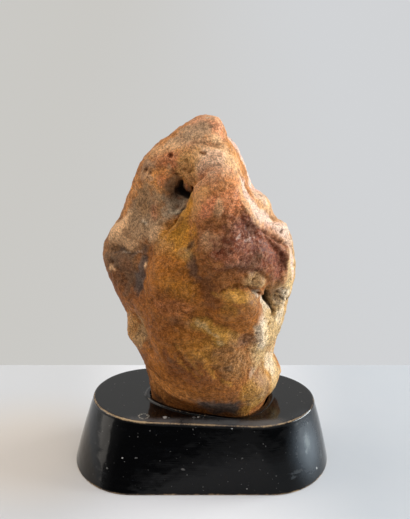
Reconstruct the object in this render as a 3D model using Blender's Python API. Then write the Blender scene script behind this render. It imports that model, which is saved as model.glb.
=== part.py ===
"""A scholar's rock standing in its black-lacquered plinth.

The stone is lofted through level sections and then shaped by swells, hollows
and grooves. The plinth is one flared block with rounded ends, and its top has
a lipped socket that takes the foot of the stone. Units are metres, +Z is up
and the origin is the middle of the plinth's underside.
"""
import math

import bmesh
import bpy
import numpy as np
from mathutils import Vector, noise

# Plinth: overall size, and how the top outline differs from the base outline
PLINTH_LENGTH = 0.175
PLINTH_DEPTH = 0.101
PLINTH_HEIGHT = 0.0477
WALL_FLARE = 0.0114
WALL_BULGE = 0.0005
BASE_END_REACH = 0.0405
TOP_END_REACH = 0.0433
TOP_TWIST = math.radians(-4.4)
TOP_SHIFT = 0.0013
RIM_ROUND = 0.0020
FOOT_ROUND = 0.0008
ROUND_STEPS = 3
WALL_STEPS = 6
END_STEPS = 13
SIDE_STEPS = 4

# Socket for the stone's foot, with a low carved lip around it
SOCKET_FLOOR = 0.0437
SOCKET_CLEARANCE = 0.0007
LIP_WIDTH = 0.0030
LIP_HEIGHT = 0.0011
LIP_BEVEL = 0.0009
LIP_BEVEL_MIDDLE = 0.3
LIP_ROOT = 0.0460
CUTTER_TOP = 0.060

# Stone: mesh fineness, and the gap that keeps its foot off the socket floor
STONE_ROWS = 56
STONE_COLUMNS = 62
ARC_SAMPLES = 8
REST_GAP = 0.0003
STONE_FOOT = SOCKET_FLOOR + REST_GAP
SOCKET_LEVEL = 0.0505
SHAPING_STARTS = 0.0515
SHAPING_FULL = 0.0620
GRAIN_SIZE = 0.020
GRAIN_HEIGHT = 0.0011
GRAIN_ROUGHNESS = 0.8
GRAIN_SCALE_STEP = 2.0
GRAIN_OCTAVES = 3

# Stone sections from foot to peak: height, then the reach to the left, right,
# front and back
STONE_SECTIONS = (
    (STONE_FOOT, -0.0338, 0.0440, -0.0270, 0.0280),
    (SOCKET_LEVEL, -0.0350, 0.0462, -0.0284, 0.0305),
    (0.0575, -0.0366, 0.0530, -0.0318, 0.0330),
    (0.0670, -0.0398, 0.0535, -0.0365, 0.0350),
    (0.0760, -0.0426, 0.0487, -0.0392, 0.0365),
    (0.0860, -0.0455, 0.0488, -0.0410, 0.0380),
    (0.0960, -0.0498, 0.0512, -0.0420, 0.0392),
    (0.1060, -0.0492, 0.0538, -0.0427, 0.0404),
    (0.1170, -0.0522, 0.0550, -0.0434, 0.0416),
    (0.1290, -0.0592, 0.0596, -0.0442, 0.0426),
    (0.1430, -0.0645, 0.0618, -0.0450, 0.0432),
    (0.1560, -0.0650, 0.0604, -0.0452, 0.0428),
    (0.1680, -0.0590, 0.0565, -0.0440, 0.0412),
    (0.1800, -0.0537, 0.0466, -0.0418, 0.0388),
    (0.1930, -0.0499, 0.0398, -0.0385, 0.0355),
    (0.2070, -0.0446, 0.0300, -0.0340, 0.0310),
    (0.2200, -0.0370, 0.0250, -0.0285, 0.0262),
    (0.2310, -0.0240, 0.0185, -0.0215, 0.0210),
    (0.2395, -0.0120, 0.0140, -0.0130, 0.0160),
    (0.2450, -0.0030, 0.0118, -0.0040, 0.0105),
)
STONE_PEAK = (0.0040, 0.0045, 0.2472)

# How deep the left and right extremes lie, by height
SIDE_DEPTHS = (
    (0.044, -0.002, 0.008),
    (0.057, 0.004, 0.008),
    (0.070, 0.010, 0.008),
    (0.110, 0.006, 0.002),
    (0.150, 0.008, 0.000),
    (0.190, 0.008, 0.002),
    (0.220, 0.004, 0.004),
    (0.248, 0.0045, 0.0045),
)
# Where the foremost and hindmost points lie across the stone, by height
RIDGE_PLACES = (
    (0.044, 0.026, 0.008),
    (0.065, 0.016, 0.006),
    (0.100, 0.002, 0.000),
    (0.140, 0.010, -0.004),
    (0.180, 0.014, -0.008),
    (0.215, 0.010, -0.004),
    (0.248, 0.0035, 0.0035),
)
# Squareness of the four corners of a section, by height: front left, front
# right, back right and back left. 2 is an ellipse and less is flatter.
CORNER_SHAPES = (
    (0.044, 1.62, 2.15, 1.90, 1.90),
    (0.058, 1.75, 1.76, 1.95, 1.90),
    (0.080, 2.00, 2.05, 2.00, 1.85),
    (0.110, 2.10, 2.10, 1.90, 1.75),
    (0.150, 1.70, 2.00, 1.80, 1.90),
    (0.190, 1.60, 1.85, 1.75, 2.00),
    (0.220, 1.75, 1.90, 1.90, 1.95),
    (0.248, 2.00, 2.00, 2.00, 2.00),
)

FRONT = -1
BACK = 1

# Swells and hollows: side, place across, height above the table, reach across,
# reach in height, and rise of the surface (negative for a hollow)
SWELLS = (
    (FRONT, 0.014, 0.199, 0.026, 0.034, 0.0045),
    (FRONT, 0.040, 0.189, 0.009, 0.010, 0.0040),
    (FRONT, -0.040, 0.190, 0.022, 0.030, -0.0030),
    (FRONT, -0.012, 0.213, 0.010, 0.014, -0.0110),
    (FRONT, -0.015, 0.204, 0.009, 0.013, -0.0055),
    (FRONT, -0.013, 0.182, 0.013, 0.020, -0.0045),
    (FRONT, 0.000, 0.203, 0.008, 0.014, 0.0030),
    (FRONT, -0.050, 0.149, 0.017, 0.015, -0.0065),
    (FRONT, -0.052, 0.168, 0.017, 0.007, 0.0025),
    (FRONT, -0.021, 0.150, 0.020, 0.026, 0.0030),
    (FRONT, 0.053, 0.168, 0.013, 0.011, 0.0048),
    (FRONT, 0.052, 0.150, 0.013, 0.010, -0.0020),
    (FRONT, 0.023, 0.135, 0.018, 0.014, 0.0045),
    (FRONT, 0.047, 0.128, 0.010, 0.013, -0.0110),
    (FRONT, 0.002, 0.118, 0.016, 0.008, -0.0025),
    (FRONT, -0.006, 0.092, 0.032, 0.030, 0.0040),
    (FRONT, 0.036, 0.095, 0.012, 0.022, -0.0025),
    (FRONT, 0.042, 0.070, 0.014, 0.012, 0.0010),
    (FRONT, -0.038, 0.104, 0.009, 0.016, -0.0035),
    (BACK, -0.030, 0.175, 0.024, 0.032, 0.0045),
    (BACK, 0.018, 0.160, 0.020, 0.040, -0.0055),
    (BACK, 0.044, 0.120, 0.018, 0.024, 0.0050),
    (BACK, -0.020, 0.110, 0.026, 0.022, -0.0045),
    (BACK, 0.010, 0.085, 0.030, 0.020, 0.0040),
    (BACK, -0.040, 0.080, 0.014, 0.020, -0.0030),
    (BACK, 0.004, 0.214, 0.014, 0.018, -0.0035),
)

# Grooves: side, half width, depth, then the points along it as places across
# and heights
GROOVES = (
    (FRONT, 0.0055, 0.0040, ((-0.058, 0.160), (-0.046, 0.163), (-0.034, 0.164))),
    (FRONT, 0.0050, 0.0035, ((-0.038, 0.163), (-0.039, 0.153), (-0.037, 0.143))),
    (FRONT, 0.0045, 0.0030, ((0.021, 0.149), (0.030, 0.148), (0.039, 0.139), (0.045, 0.136))),
    (FRONT, 0.0045, 0.0030, ((0.044, 0.176), (0.052, 0.168), (0.058, 0.161))),
    (FRONT, 0.0050, 0.0030, ((-0.044, 0.117), (-0.039, 0.108), (-0.033, 0.098))),
    (BACK, 0.0075, 0.0040, ((-0.046, 0.150), (-0.020, 0.142), (0.010, 0.128), (0.034, 0.100))),
    (BACK, 0.0065, 0.0030, ((0.022, 0.205), (0.030, 0.185), (0.046, 0.160))),
    (BACK, 0.0065, 0.0030, ((-0.014, 0.225), (-0.022, 0.205), (-0.018, 0.185))),
)

STONE_COLOUR = (0.36, 0.17, 0.06, 1.0)
STONE_ROUGHNESS = 0.55
LACQUER_COLOUR = (0.012, 0.012, 0.013, 1.0)
LACQUER_ROUGHNESS = 0.22
SMOOTH_ANGLE = math.radians(40.0)


def clear_scene():
    for thing in list(bpy.data.objects):
        bpy.data.objects.remove(thing, do_unlink=True)


def make_material(name, colour, roughness):
    material = bpy.data.materials.new(name)
    material.use_nodes = True
    shader = material.node_tree.nodes["Principled BSDF"]
    shader.inputs["Base Color"].default_value = colour
    shader.inputs["Roughness"].default_value = roughness
    return material


def make_object(name, mesh, material=None):
    thing = bpy.data.objects.new(name, mesh)
    bpy.context.scene.collection.objects.link(thing)
    if material:
        mesh.materials.append(material)
    return thing


def smooth_curve(stations, keys, at):
    """Read every column of stations, one row for each key, along cubic curves."""
    table = np.array(stations, dtype=float)
    slopes = np.gradient(table, keys, axis=0)
    cell = np.clip(np.searchsorted(keys, at, side="right") - 1, 0, len(keys) - 2)
    span = (keys[cell + 1] - keys[cell])[:, None]
    along = np.clip((at[:, None] - keys[cell][:, None]) / span, 0.0, 1.0)
    start = table[cell] * (2 * along**3 - 3 * along**2 + 1)
    leave = slopes[cell] * span * (along**3 - 2 * along**2 + along)
    finish = table[cell + 1] * (3 * along**2 - 2 * along**3)
    arrive = slopes[cell + 1] * span * (along**3 - along**2)
    return start + leave + finish + arrive


def by_height(stations, heights):
    """Read the columns of a table whose first column is a height."""
    table = np.array(stations)
    return smooth_curve(table[:, 1:], table[:, 0], heights)


def fade(value, low, high):
    """Rise smoothly from 0 at low to 1 at high."""
    along = np.clip((value - low) / (high - low), 0.0, 1.0)
    return along * along * (3.0 - 2.0 * along)


def even_ring(ring, count):
    """Space count points evenly around a closed ring of points."""
    closed = np.vstack([ring, ring[:1]])
    steps = np.linalg.norm(np.diff(closed, axis=0), axis=1)
    length = np.concatenate([[0.0], np.cumsum(steps)])
    wanted = np.linspace(0.0, length[-1], count, endpoint=False)
    columns = [np.interp(wanted, length, closed[:, axis]) for axis in range(ring.shape[1])]
    return np.stack(columns, axis=1)


def stone_ring(reach, height, count):
    """One level section of the stone, through its four extreme points."""
    left, right, front, back = reach
    level = np.array([height])
    left_depth, right_depth = by_height(SIDE_DEPTHS, level)[0]
    front_place, back_place = by_height(RIDGE_PLACES, level)[0]
    front_left, front_right, back_right, back_left = by_height(CORNER_SHAPES, level)[0]

    angle = np.linspace(0.0, 2.0 * math.pi, count * ARC_SAMPLES, endpoint=False)
    across = np.cos(angle)
    deep = np.sin(angle)
    is_right = across >= 0.0
    is_back = deep >= 0.0
    corner = np.where(
        is_back,
        np.where(is_right, back_right, back_left),
        np.where(is_right, front_right, front_left),
    )
    middle_x = np.where(is_back, back_place, front_place)
    middle_y = np.where(is_right, right_depth, left_depth)
    reach_x = np.where(is_right, right, left) - middle_x
    reach_y = np.where(is_back, back, front) - middle_y
    x = middle_x + reach_x * np.abs(across) ** (2.0 / corner)
    y = middle_y + reach_y * np.abs(deep) ** (2.0 / corner)
    ring = np.stack([x, y, np.full_like(x, height)], axis=1)
    return even_ring(ring, count)


def stone_rings():
    """All the sections of the stone, from its foot to just under its peak."""
    stations = np.arange(len(STONE_SECTIONS), dtype=float)
    rows = np.linspace(0.0, stations[-1], STONE_ROWS)
    sections = smooth_curve(STONE_SECTIONS, stations, rows)
    return np.array([stone_ring(row[1:], row[0], STONE_COLUMNS) for row in sections])


def ring_normals(rings):
    """Outward normals of a stack of closed rings."""
    around = np.roll(rings, -1, axis=1) - np.roll(rings, 1, axis=1)
    upward = np.gradient(rings, axis=0)
    normals = np.cross(around, upward)
    return normals / np.linalg.norm(normals, axis=2, keepdims=True)


def skin_point(points, side, across, height):
    """The point of the stone's front or back skin seen at a place and height."""
    middle = points[:, 1].mean()
    off_side = (points[:, 1] - middle) * side < 0.0
    gap = np.hypot(points[:, 0] - across, points[:, 2] - height) + off_side
    return points[np.argmin(gap)]


def swell_rise(points, swell):
    side, across, height, reach_across, reach_up, rise = swell
    centre = skin_point(points, side, across, height)
    reach = np.array([reach_across, max(reach_across, reach_up), reach_up])
    distance = np.linalg.norm((points - centre) / reach, axis=1)
    return rise * np.exp(-distance**2)


def distance_to_path(points, path):
    nearest = np.full(len(points), np.inf)
    for start, end in zip(path[:-1], path[1:]):
        edge = end - start
        along = np.clip((points - start) @ edge / (edge @ edge), 0.0, 1.0)
        gap = np.linalg.norm(points - start - along[:, None] * edge, axis=1)
        nearest = np.minimum(nearest, gap)
    return nearest


def groove_rise(points, groove):
    side, half_width, depth, places = groove
    path = [skin_point(points, side, across, height) for across, height in places]
    distance = distance_to_path(points, path)
    return -depth * np.exp(-((distance / half_width) ** 2))


def grain_rise(points):
    places = [Vector(point) / GRAIN_SIZE for point in points]
    settings = (GRAIN_ROUGHNESS, GRAIN_SCALE_STEP, GRAIN_OCTAVES)
    return GRAIN_HEIGHT * np.array([noise.fractal(place, *settings) for place in places])


def shape_stone(rings):
    """Move the skin along its normals, leaving the foot in the socket alone."""
    for features, rise_of in ((SWELLS, swell_rise), (GROOVES, groove_rise)):
        normals = ring_normals(rings).reshape(-1, 3)
        points = rings.reshape(-1, 3)
        rise = sum(rise_of(points, feature) for feature in features)
        rise = rise * fade(points[:, 2], SHAPING_STARTS, SHAPING_FULL)
        rings = (points + normals * rise[:, None]).reshape(rings.shape)
    normals = ring_normals(rings).reshape(-1, 3)
    points = rings.reshape(-1, 3)
    rise = grain_rise(points) * fade(points[:, 2], SHAPING_STARTS, SHAPING_FULL)
    return (points + normals * rise[:, None]).reshape(rings.shape)


def bridge_rings(shape, rings):
    """Add rings of points to a bmesh, joined by quads, with the ends open."""
    rows = [[shape.verts.new(point) for point in ring] for ring in rings]
    count = len(rows[0])
    for lower, upper in zip(rows[:-1], rows[1:]):
        for here in range(count):
            there = (here + 1) % count
            shape.faces.new((lower[here], lower[there], upper[there], upper[here]))
    return rows[0], rows[-1]


def finish_mesh(name, shape, smooth=True):
    bmesh.ops.recalc_face_normals(shape, faces=shape.faces)
    mesh = bpy.data.meshes.new(name)
    shape.to_mesh(mesh)
    shape.free()
    if smooth:
        mesh.shade_smooth()
        mesh.set_sharp_from_angle(angle=SMOOTH_ANGLE)
    return mesh


def make_stone():
    shape = bmesh.new()
    rings = shape_stone(stone_rings())
    foot, crown = bridge_rings(shape, rings)
    shape.faces.new(list(reversed(foot)))
    peak = shape.verts.new(STONE_PEAK)
    for here, vertex in enumerate(crown):
        shape.faces.new((vertex, crown[(here + 1) % len(crown)], peak))
    material = make_material("Weathered stone", STONE_COLOUR, STONE_ROUGHNESS)
    return make_object("rock", finish_mesh("rock", shape), material)


def plinth_outline(half_length, half_depth, end_reach, inset=0.0):
    """A rectangle whose ends are half ellipses, as points from the right."""
    straight = half_length - end_reach
    reach = end_reach - inset
    depth = half_depth - inset
    quarter = np.linspace(0.0, math.pi / 2.0, END_STEPS)
    arc = [(straight + reach * math.cos(t), depth * math.sin(t)) for t in quarter]
    side = [(x, depth) for x in np.linspace(straight, -straight, SIDE_STEPS + 2)[1:-1]]
    back = arc + side + [(-x, y) for x, y in reversed(arc)]
    front = [(-x, -y) for x, y in back]
    return np.array(back[:-1] + front[:-1])


def plinth_ring(rise, height, inset):
    """The plinth's outline at a rise from 0 at the base to 1 at the rim."""
    flare = WALL_FLARE * rise - WALL_BULGE * math.sin(math.pi * rise)
    end_reach = BASE_END_REACH + (TOP_END_REACH - BASE_END_REACH) * rise
    half_length = PLINTH_LENGTH / 2.0 - flare
    half_depth = PLINTH_DEPTH / 2.0 - flare
    outline = plinth_outline(half_length, half_depth, end_reach, inset)
    twist = TOP_TWIST * rise
    x = outline[:, 0] * math.cos(twist) - outline[:, 1] * math.sin(twist)
    y = outline[:, 0] * math.sin(twist) + outline[:, 1] * math.cos(twist)
    return np.stack([x + TOP_SHIFT * rise, y, np.full_like(x, height)], axis=1)


def plinth_rings():
    """The plinth's rings, with rounded edges at the base and the rim."""
    rings = []
    turns = np.linspace(0.0, math.pi / 2.0, ROUND_STEPS + 1)
    for turn in turns:
        height = FOOT_ROUND * (1.0 - math.cos(turn))
        rings.append(plinth_ring(0.0, height, FOOT_ROUND * (1.0 - math.sin(turn))))
    for rise in np.linspace(0.0, 1.0, WALL_STEPS + 1)[1:]:
        height = FOOT_ROUND + (PLINTH_HEIGHT - RIM_ROUND - FOOT_ROUND) * rise
        rings.append(plinth_ring(rise, height, 0.0))
    for turn in turns[1:]:
        height = PLINTH_HEIGHT - RIM_ROUND * (1.0 - math.sin(turn))
        rings.append(plinth_ring(1.0, height, RIM_ROUND * (1.0 - math.cos(turn))))
    return rings


def closed_loft(name, rings, smooth=True):
    shape = bmesh.new()
    bottom, top = bridge_rings(shape, rings)
    shape.faces.new(list(reversed(bottom)))
    shape.faces.new(top)
    return finish_mesh(name, shape, smooth)


def socket_ring(offset, height):
    """The stone's foot outline, grown outward by offset, at a height."""
    stations = np.arange(len(STONE_SECTIONS), dtype=float)
    section = smooth_curve(STONE_SECTIONS, stations, stations[1:2])[0]
    ring = stone_ring(section[1:], section[0], STONE_COLUMNS)[:, :2]
    tangent = np.roll(ring, -1, axis=0) - np.roll(ring, 1, axis=0)
    outward = np.stack([tangent[:, 1], -tangent[:, 0]], axis=1)
    outward /= np.linalg.norm(outward, axis=1, keepdims=True)
    grown = ring + outward * offset
    return np.column_stack([grown, np.full(len(grown), height)])


def make_lip():
    """The low ring of wood that was left standing around the socket."""
    outer = SOCKET_CLEARANCE + LIP_WIDTH
    top = PLINTH_HEIGHT + LIP_HEIGHT
    rings = [
        socket_ring(outer, LIP_ROOT),
        socket_ring(outer, top - LIP_BEVEL),
        socket_ring(outer - LIP_BEVEL * LIP_BEVEL_MIDDLE, top - LIP_BEVEL * LIP_BEVEL_MIDDLE),
        socket_ring(outer - LIP_BEVEL, top),
    ]
    return make_guide("lip_guide", closed_loft("lip_guide", rings, smooth=False))


def make_socket_cutter():
    rings = [
        socket_ring(SOCKET_CLEARANCE, SOCKET_FLOOR),
        socket_ring(SOCKET_CLEARANCE, CUTTER_TOP),
    ]
    return make_guide("socket_cutter", closed_loft("socket_cutter", rings, smooth=False))


def make_guide(name, mesh):
    guide = make_object(name, mesh)
    guide.hide_render = True
    guide.display_type = "WIRE"
    return guide


def add_boolean(thing, other, operation):
    modifier = thing.modifiers.new(other.name, "BOOLEAN")
    modifier.operation = operation
    modifier.solver = "EXACT"
    modifier.object = other


def make_plinth():
    material = make_material("Black lacquer", LACQUER_COLOUR, LACQUER_ROUGHNESS)
    plinth = make_object("stand", closed_loft("stand", plinth_rings()), material)
    add_boolean(plinth, make_lip(), "UNION")
    add_boolean(plinth, make_socket_cutter(), "DIFFERENCE")
    return plinth


clear_scene()
make_plinth()
make_stone()
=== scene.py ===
"""The finish and the fine form of the scholar's rock and its lacquered stand.

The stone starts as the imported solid, gets an even fine skin and is then carved
by named features. Each feature sits where a line of sight from the camera, or a
level line towards the stone's axis, meets the skin. The stand is lofted again
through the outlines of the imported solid, with worn edges.
"""
import math
from collections import namedtuple

import bmesh
import bpy
import numpy as np
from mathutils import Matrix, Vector
from mathutils.bvhtree import BVHTree


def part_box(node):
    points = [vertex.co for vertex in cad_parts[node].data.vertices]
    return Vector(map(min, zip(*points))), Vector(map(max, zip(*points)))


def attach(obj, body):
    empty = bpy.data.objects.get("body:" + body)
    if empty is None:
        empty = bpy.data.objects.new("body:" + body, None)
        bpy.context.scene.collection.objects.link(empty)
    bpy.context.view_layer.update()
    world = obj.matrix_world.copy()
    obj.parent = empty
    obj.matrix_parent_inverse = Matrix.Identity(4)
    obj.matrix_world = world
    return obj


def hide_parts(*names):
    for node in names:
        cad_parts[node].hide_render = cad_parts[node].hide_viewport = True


MM = 0.001

# Camera: the picture's size in pixels, and the view that was worked out for it
PICTURE_WIDTH = 410
PICTURE_HEIGHT = 519
FOCAL_LENGTH_PX = 1369.5
VIEW_PITCH = math.radians(23.55)
EYE = Vector((0.0023, -0.8250, 0.5093))
SENSOR_SIZE = 36.0
# Metres from the camera between which a line of sight passes the stone
SIGHT_START = 0.75
SIGHT_END = 1.05
SIGHT_STEPS = 61

# Features are in millimetres and degrees. A place is (across, down) in the
# picture, or Around(bearing, height) for what the picture doesn't show. Bearing
# 0 is the front and 90 the right.
Around = namedtuple("Around", "bearing height")
Swell = namedtuple("Swell", "name at reach turn rise")
Cave = namedtuple("Cave", "name at reach turn depth edge")
Chasm = namedtuple("Chasm", "name path half_width depth edge")
Groove = namedtuple("Groove", "name path half_width depth")
Ledge = namedtuple("Ledge", "name path drop fade edge")
Patch = namedtuple("Patch", "name paint at reach turn cover")
Streak = namedtuple("Streak", "name paint path half_width cover")
Mark = namedtuple("Mark", "name kind at reach")


def rows(kind, table):
    """Rows of one kind from a table of names and of the values that follow them."""
    return [kind(name, *values) for name, values in table.items()]


SWELLS = rows(Swell, {
    "peak knob": ((206, 122), (9, 6), 15, 1.0),
    "peak knob, right edge": ((217, 122), (4, 7), 0, 2.0),
    "saddle under the knob": ((216, 144), (6, 3.5), 20, -1.2),
    "neck right of the knob": ((228, 135), (3.5, 3.5), 0, -2.0),
    "top of the strip": ((235, 144), (4, 3.5), 30, 1.2),
    "brow over the cave": ((176, 158), (12, 5), 8, 1.6),
    "band under the brow": ((160, 170), (9, 5), 15, -1.6),
    "pale shoulder of the left face": ((146, 180), (6, 6), 0, 1.0),
    "left face": ((141, 210), (14, 19), -18, -2.0),
    "left edge": ((119, 224), (4, 12), -18, 1.2),
    "ridge beside the trough": ((157, 231), (9, 4), -25, 1.4),
    "slope under the cave": ((174, 203), (4.5, 9), -30, -3.0),
    "tongue over the cave": ((188, 175), (4.5, 8), 10, 2.0),
    "tip of the tongue": ((187, 187), (2.4, 3.0), -10, 2.4),
    "central mass": ((222, 198), (15, 24), 12, 5.4),
    "central mass, low": ((222, 258), (17, 12), 0, 3.0),
    "dent in the central mass": ((212, 228), (6, 4), -20, -1.4),
    "dent in the central mass 2": ((232, 214), (5, 6), 20, -1.2),
    "red lump": ((208, 208), (4.5, 5.5), 20, 1.2),
    "trough": ((176, 238), (7, 12), -25, -1.6),
    "gold swell": ((181, 252), (9, 5), -10, 1.2),
    "left brow": ((124, 240), (12, 4), -10, 1.0),
    "recess under the left brow": ((122, 271), (12, 11), -30, 0.8),
    "middle swell": ((164, 280), (13, 13), 0, 3.2),
    "between the swell and the mass": ((197, 276), (4, 11), 10, -1.8),
    "shoulder": ((280, 226), (9, 6), -40, 3.0),
    "maroon face": ((262, 250), (11, 9), -35, 1.6),
    "under the maroon face": ((250, 277), (13, 4.5), -12, -1.0),
    "khaki knob": ((250, 276), (3.6, 3.2), 0, 1.2),
    "khaki knob 2": ((262, 283), (3.6, 3.2), 0, 1.5),
    "khaki knob 3": ((271, 284), (2.6, 2.6), 0, 1.0),
    "notch right of the cavity": ((287, 301), (3, 4), 0, -1.8),
    "yellow bump": ((237, 305), (12, 9.5), -20, 3.2),
    "yellow bump, crown": ((230, 298), (7, 4), -10, 1.2),
    "beside the yellow bump": ((212, 297), (4.5, 10), 12, -1.2),
    "under the yellow bump": ((226, 325), (11, 3.5), -25, -0.3),
    "cavity wall": ((281, 305), (2.6, 5), 0, 1.0),
    "hollow above the belly": ((206, 313), (10, 4), 10, -0.8),
    "ochre ridge": ((214, 331), (13, 4), -38, 2.2),
    "belly": ((186, 348), (24, 20), 0, 3.0),
    "belly, left": ((160, 316), (9, 9), 0, 1.6),
    "belly dent": ((172, 336), (5, 7), 25, -0.5),
    "purple hollow": ((244, 341), (6.5, 4.5), -25, -1.4),
    "hump right of the hollow": ((260, 326), (5, 7), 20, 1.8),
    "waist": ((268, 349), (4, 6), 0, -1.4),
    "hollow above the lobe": ((243, 358), (7, 5), 0, -1.2),
    "left bump": ((131, 327), (5, 8), -15, 1.8),
    "foot lobe": ((260, 386), (8, 11), 25, 1.6),
    "tip of the foot lobe": ((283, 370), (4, 3), 0, 1.6),
    "orange band": ((174, 394), (17, 4.5), -22, 1.4),
    "hollow over the orange band": ((180, 380), (14, 4), -22, -0.8),
    "bump on the right ridge": ((262, 200), (4.5, 4.0), 60, 2.6),
    "before the bump on the ridge": ((257, 184), (5, 5), 60, -2.2),
    "notch over the bump": ((252, 186), (4, 6), 60, -2.2),
    "notch under the bump": ((272, 217), (4, 4), 45, -2.4),
    "back ridge": (Around(190, 185), (14, 30), 10, 3.6),
    "back hollow": (Around(160, 150), (16, 24), 0, -4.2),
    "back shoulder": (Around(215, 130), (17, 17), 0, 3.6),
    "back belly": (Around(175, 88), (26, 16), 0, 2.8),
    "right flank": (Around(105, 150), (12, 22), 0, -2.4),
    "left flank": (Around(262, 185), (12, 20), 15, -2.0),
    "back pocket": (Around(200, 215), (9, 8), 0, -2.6),
})
CAVES = rows(Cave, {
    "cave, floor": ((180, 188), (2.6, 4.0), -20, 3.0, 0.4),
    "cave, hollow slope": ((176, 201), (3.4, 6.0), -35, 1.0, 0.7),
    "pit over the cave": ((177, 175.5), (1.7, 0.9), -25, 1.4, 0.4),
    "pit in the tongue": ((185, 168), (1.3, 0.9), 30, 1.2, 0.5),
    "pit in the tongue 2": ((192, 171), (1.0, 1.3), 0, 1.2, 0.5),
    "pit in the tongue 3": ((188, 160), (1.4, 0.9), -20, 1.0, 0.5),
    "pit in the tongue 4": ((181, 171), (0.9, 0.9), 0, 1.2, 0.5),
    "oblique pit": ((171, 155.5), (2.2, 1.3), 38, 3.0, 0.4),
    "dot": ((166.7, 150.3), (0.6, 0.6), 0, 1.0, 0.5),
    "triangular pit": ((202, 153), (2.5, 1.3), -8, 2.4, 0.4),
    "left pit": ((145, 170), (1.7, 1.1), 20, 2.0, 0.5),
    "left pit 2": ((149, 173), (1.1, 0.8), -30, 1.2, 0.5),
    "left pit 3": ((151.7, 148), (0.8, 0.6), 0, 0.9, 0.5),
    "left pit 4": ((148, 178), (1.4, 0.7), -40, 0.9, 0.6),
    "ridge pit": ((243, 165), (0.9, 0.7), 0, 1.0, 0.5),
    "ridge pit 2": ((250, 199), (0.9, 0.6), 30, 1.0, 0.5),
    "ridge pit 3": ((272, 222), (0.8, 0.6), 0, 0.9, 0.5),
    "left pit 5": ((153, 212), (0.9, 0.8), 0, 0.8, 0.6),
    "left pit 6": ((139, 222), (1.6, 0.7), 20, 0.9, 0.6),
    "lip pit": ((174.5, 215), (1.0, 0.8), 40, 1.3, 0.5),
    "shoulder hole": ((280.4, 231), (0.8, 0.7), 0, 2.2, 0.4),
    "shoulder pit": ((285, 234), (0.6, 0.5), 0, 0.8, 0.5),
    "shoulder pit 2": ((266, 212), (0.8, 0.6), 0, 0.8, 0.5),
    "khaki pit": ((253.6, 280.6), (1.4, 1.0), 20, 1.9, 0.45),
    "khaki pit 2": ((246, 278), (0.9, 0.7), 0, 1.0, 0.5),
    "cavity, wide": ((274, 297), (5.0, 6.0), 15, 2.0, 0.5),
    "cavity wall pit": ((279, 292), (1.1, 1.0), 0, 1.8, 0.5),
    "cavity wall pit 2": ((277, 299), (1.0, 1.2), 0, 1.8, 0.5),
    "cavity wall pit 4": ((282, 288), (1.0, 0.9), 0, 1.6, 0.5),
    "cavity wall pit 5": ((285, 293), (0.9, 1.1), 0, 1.4, 0.5),
    "cavity wall pit 6": ((274, 290), (1.1, 1.0), 0, 1.6, 0.5),
    "cavity wall pit 3": ((282, 303), (0.9, 1.2), 0, 1.4, 0.5),
    "waist pit": ((264, 318), (1.5, 1.0), 0, 2.2, 0.45),
    "waist pit 2": ((269, 323), (1.3, 1.0), 0, 2.0, 0.45),
    "waist pit 3": ((272, 314), (0.9, 0.9), 0, 1.2, 0.5),
    "waist pit 4": ((258, 344), (0.9, 0.7), 0, 1.2, 0.5),
    "waist pit 5": ((261, 325), (1.2, 0.8), 30, 1.6, 0.5),
    "waist pit 6": ((265, 333), (1.2, 0.9), -20, 1.6, 0.5),
    "waist pit 7": ((256, 332), (1.0, 0.8), 0, 1.3, 0.5),
    "waist pit 8": ((267, 307), (1.2, 0.7), 0, 1.3, 0.5),
    "waist pit 9": ((262, 351), (1.0, 0.7), 0, 1.1, 0.5),
    "waist pit 10": ((252, 351), (1.1, 0.7), 25, 1.1, 0.5),
    "waist pit 11": ((247, 362), (1.0, 0.7), 0, 1.1, 0.5),
    "lobe pit": ((262, 372), (1.0, 0.8), 0, 1.0, 0.5),
    "lobe pit 2": ((255, 382), (0.9, 0.7), 0, 0.9, 0.5),
    "belly speck": ((224, 368), (1.1, 0.7), 30, 1.2, 0.5),
    "belly speck 2": ((229, 371.5), (1.0, 0.7), 0, 1.1, 0.5),
    "belly speck 3": ((239, 356), (0.8, 0.7), 0, 1.0, 0.5),
    "belly speck 4": ((227, 366), (0.7, 0.5), 0, 0.8, 0.5),
    "gold pit": ((189, 247), (0.9, 1.5), -20, 1.2, 0.5),
    "back pit": (Around(172, 196), (2.4, 1.5), 30, 2.4, 0.4),
    "back pit 2": (Around(205, 160), (1.8, 1.2), 0, 1.8, 0.4),
    "back cave": (Around(150, 118), (5.0, 7.0), 15, 6.0, 0.4),
    "side pit": (Around(262, 205), (1.6, 1.0), 20, 1.5, 0.5),
    "side pit 2": (Around(100, 178), (1.5, 1.0), 20, 1.5, 0.5),
})
CHASMS = rows(Chasm, {
    "cave": (
        ((180, 181), (180.5, 187), (183.5, 192), (188, 195), (191.5, 193.5), (192.5, 188.5)),
        1.9, 7.5, 0.35,
    ),
    "cavity": (((267, 289.5), (266, 295.5), (269, 301)), 3.0, 6.5, 0.35),
    "cavity, low": (((270, 303), (272.5, 307), (273.5, 311)), 1.5, 4.6, 0.4),
})
LEFT_CREASE = ((112, 248), (121, 249), (131, 252), (139, 253), (148, 256))
UPRIGHT_GROOVE = ((142, 257), (140, 268), (142, 280), (146, 291))
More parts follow.
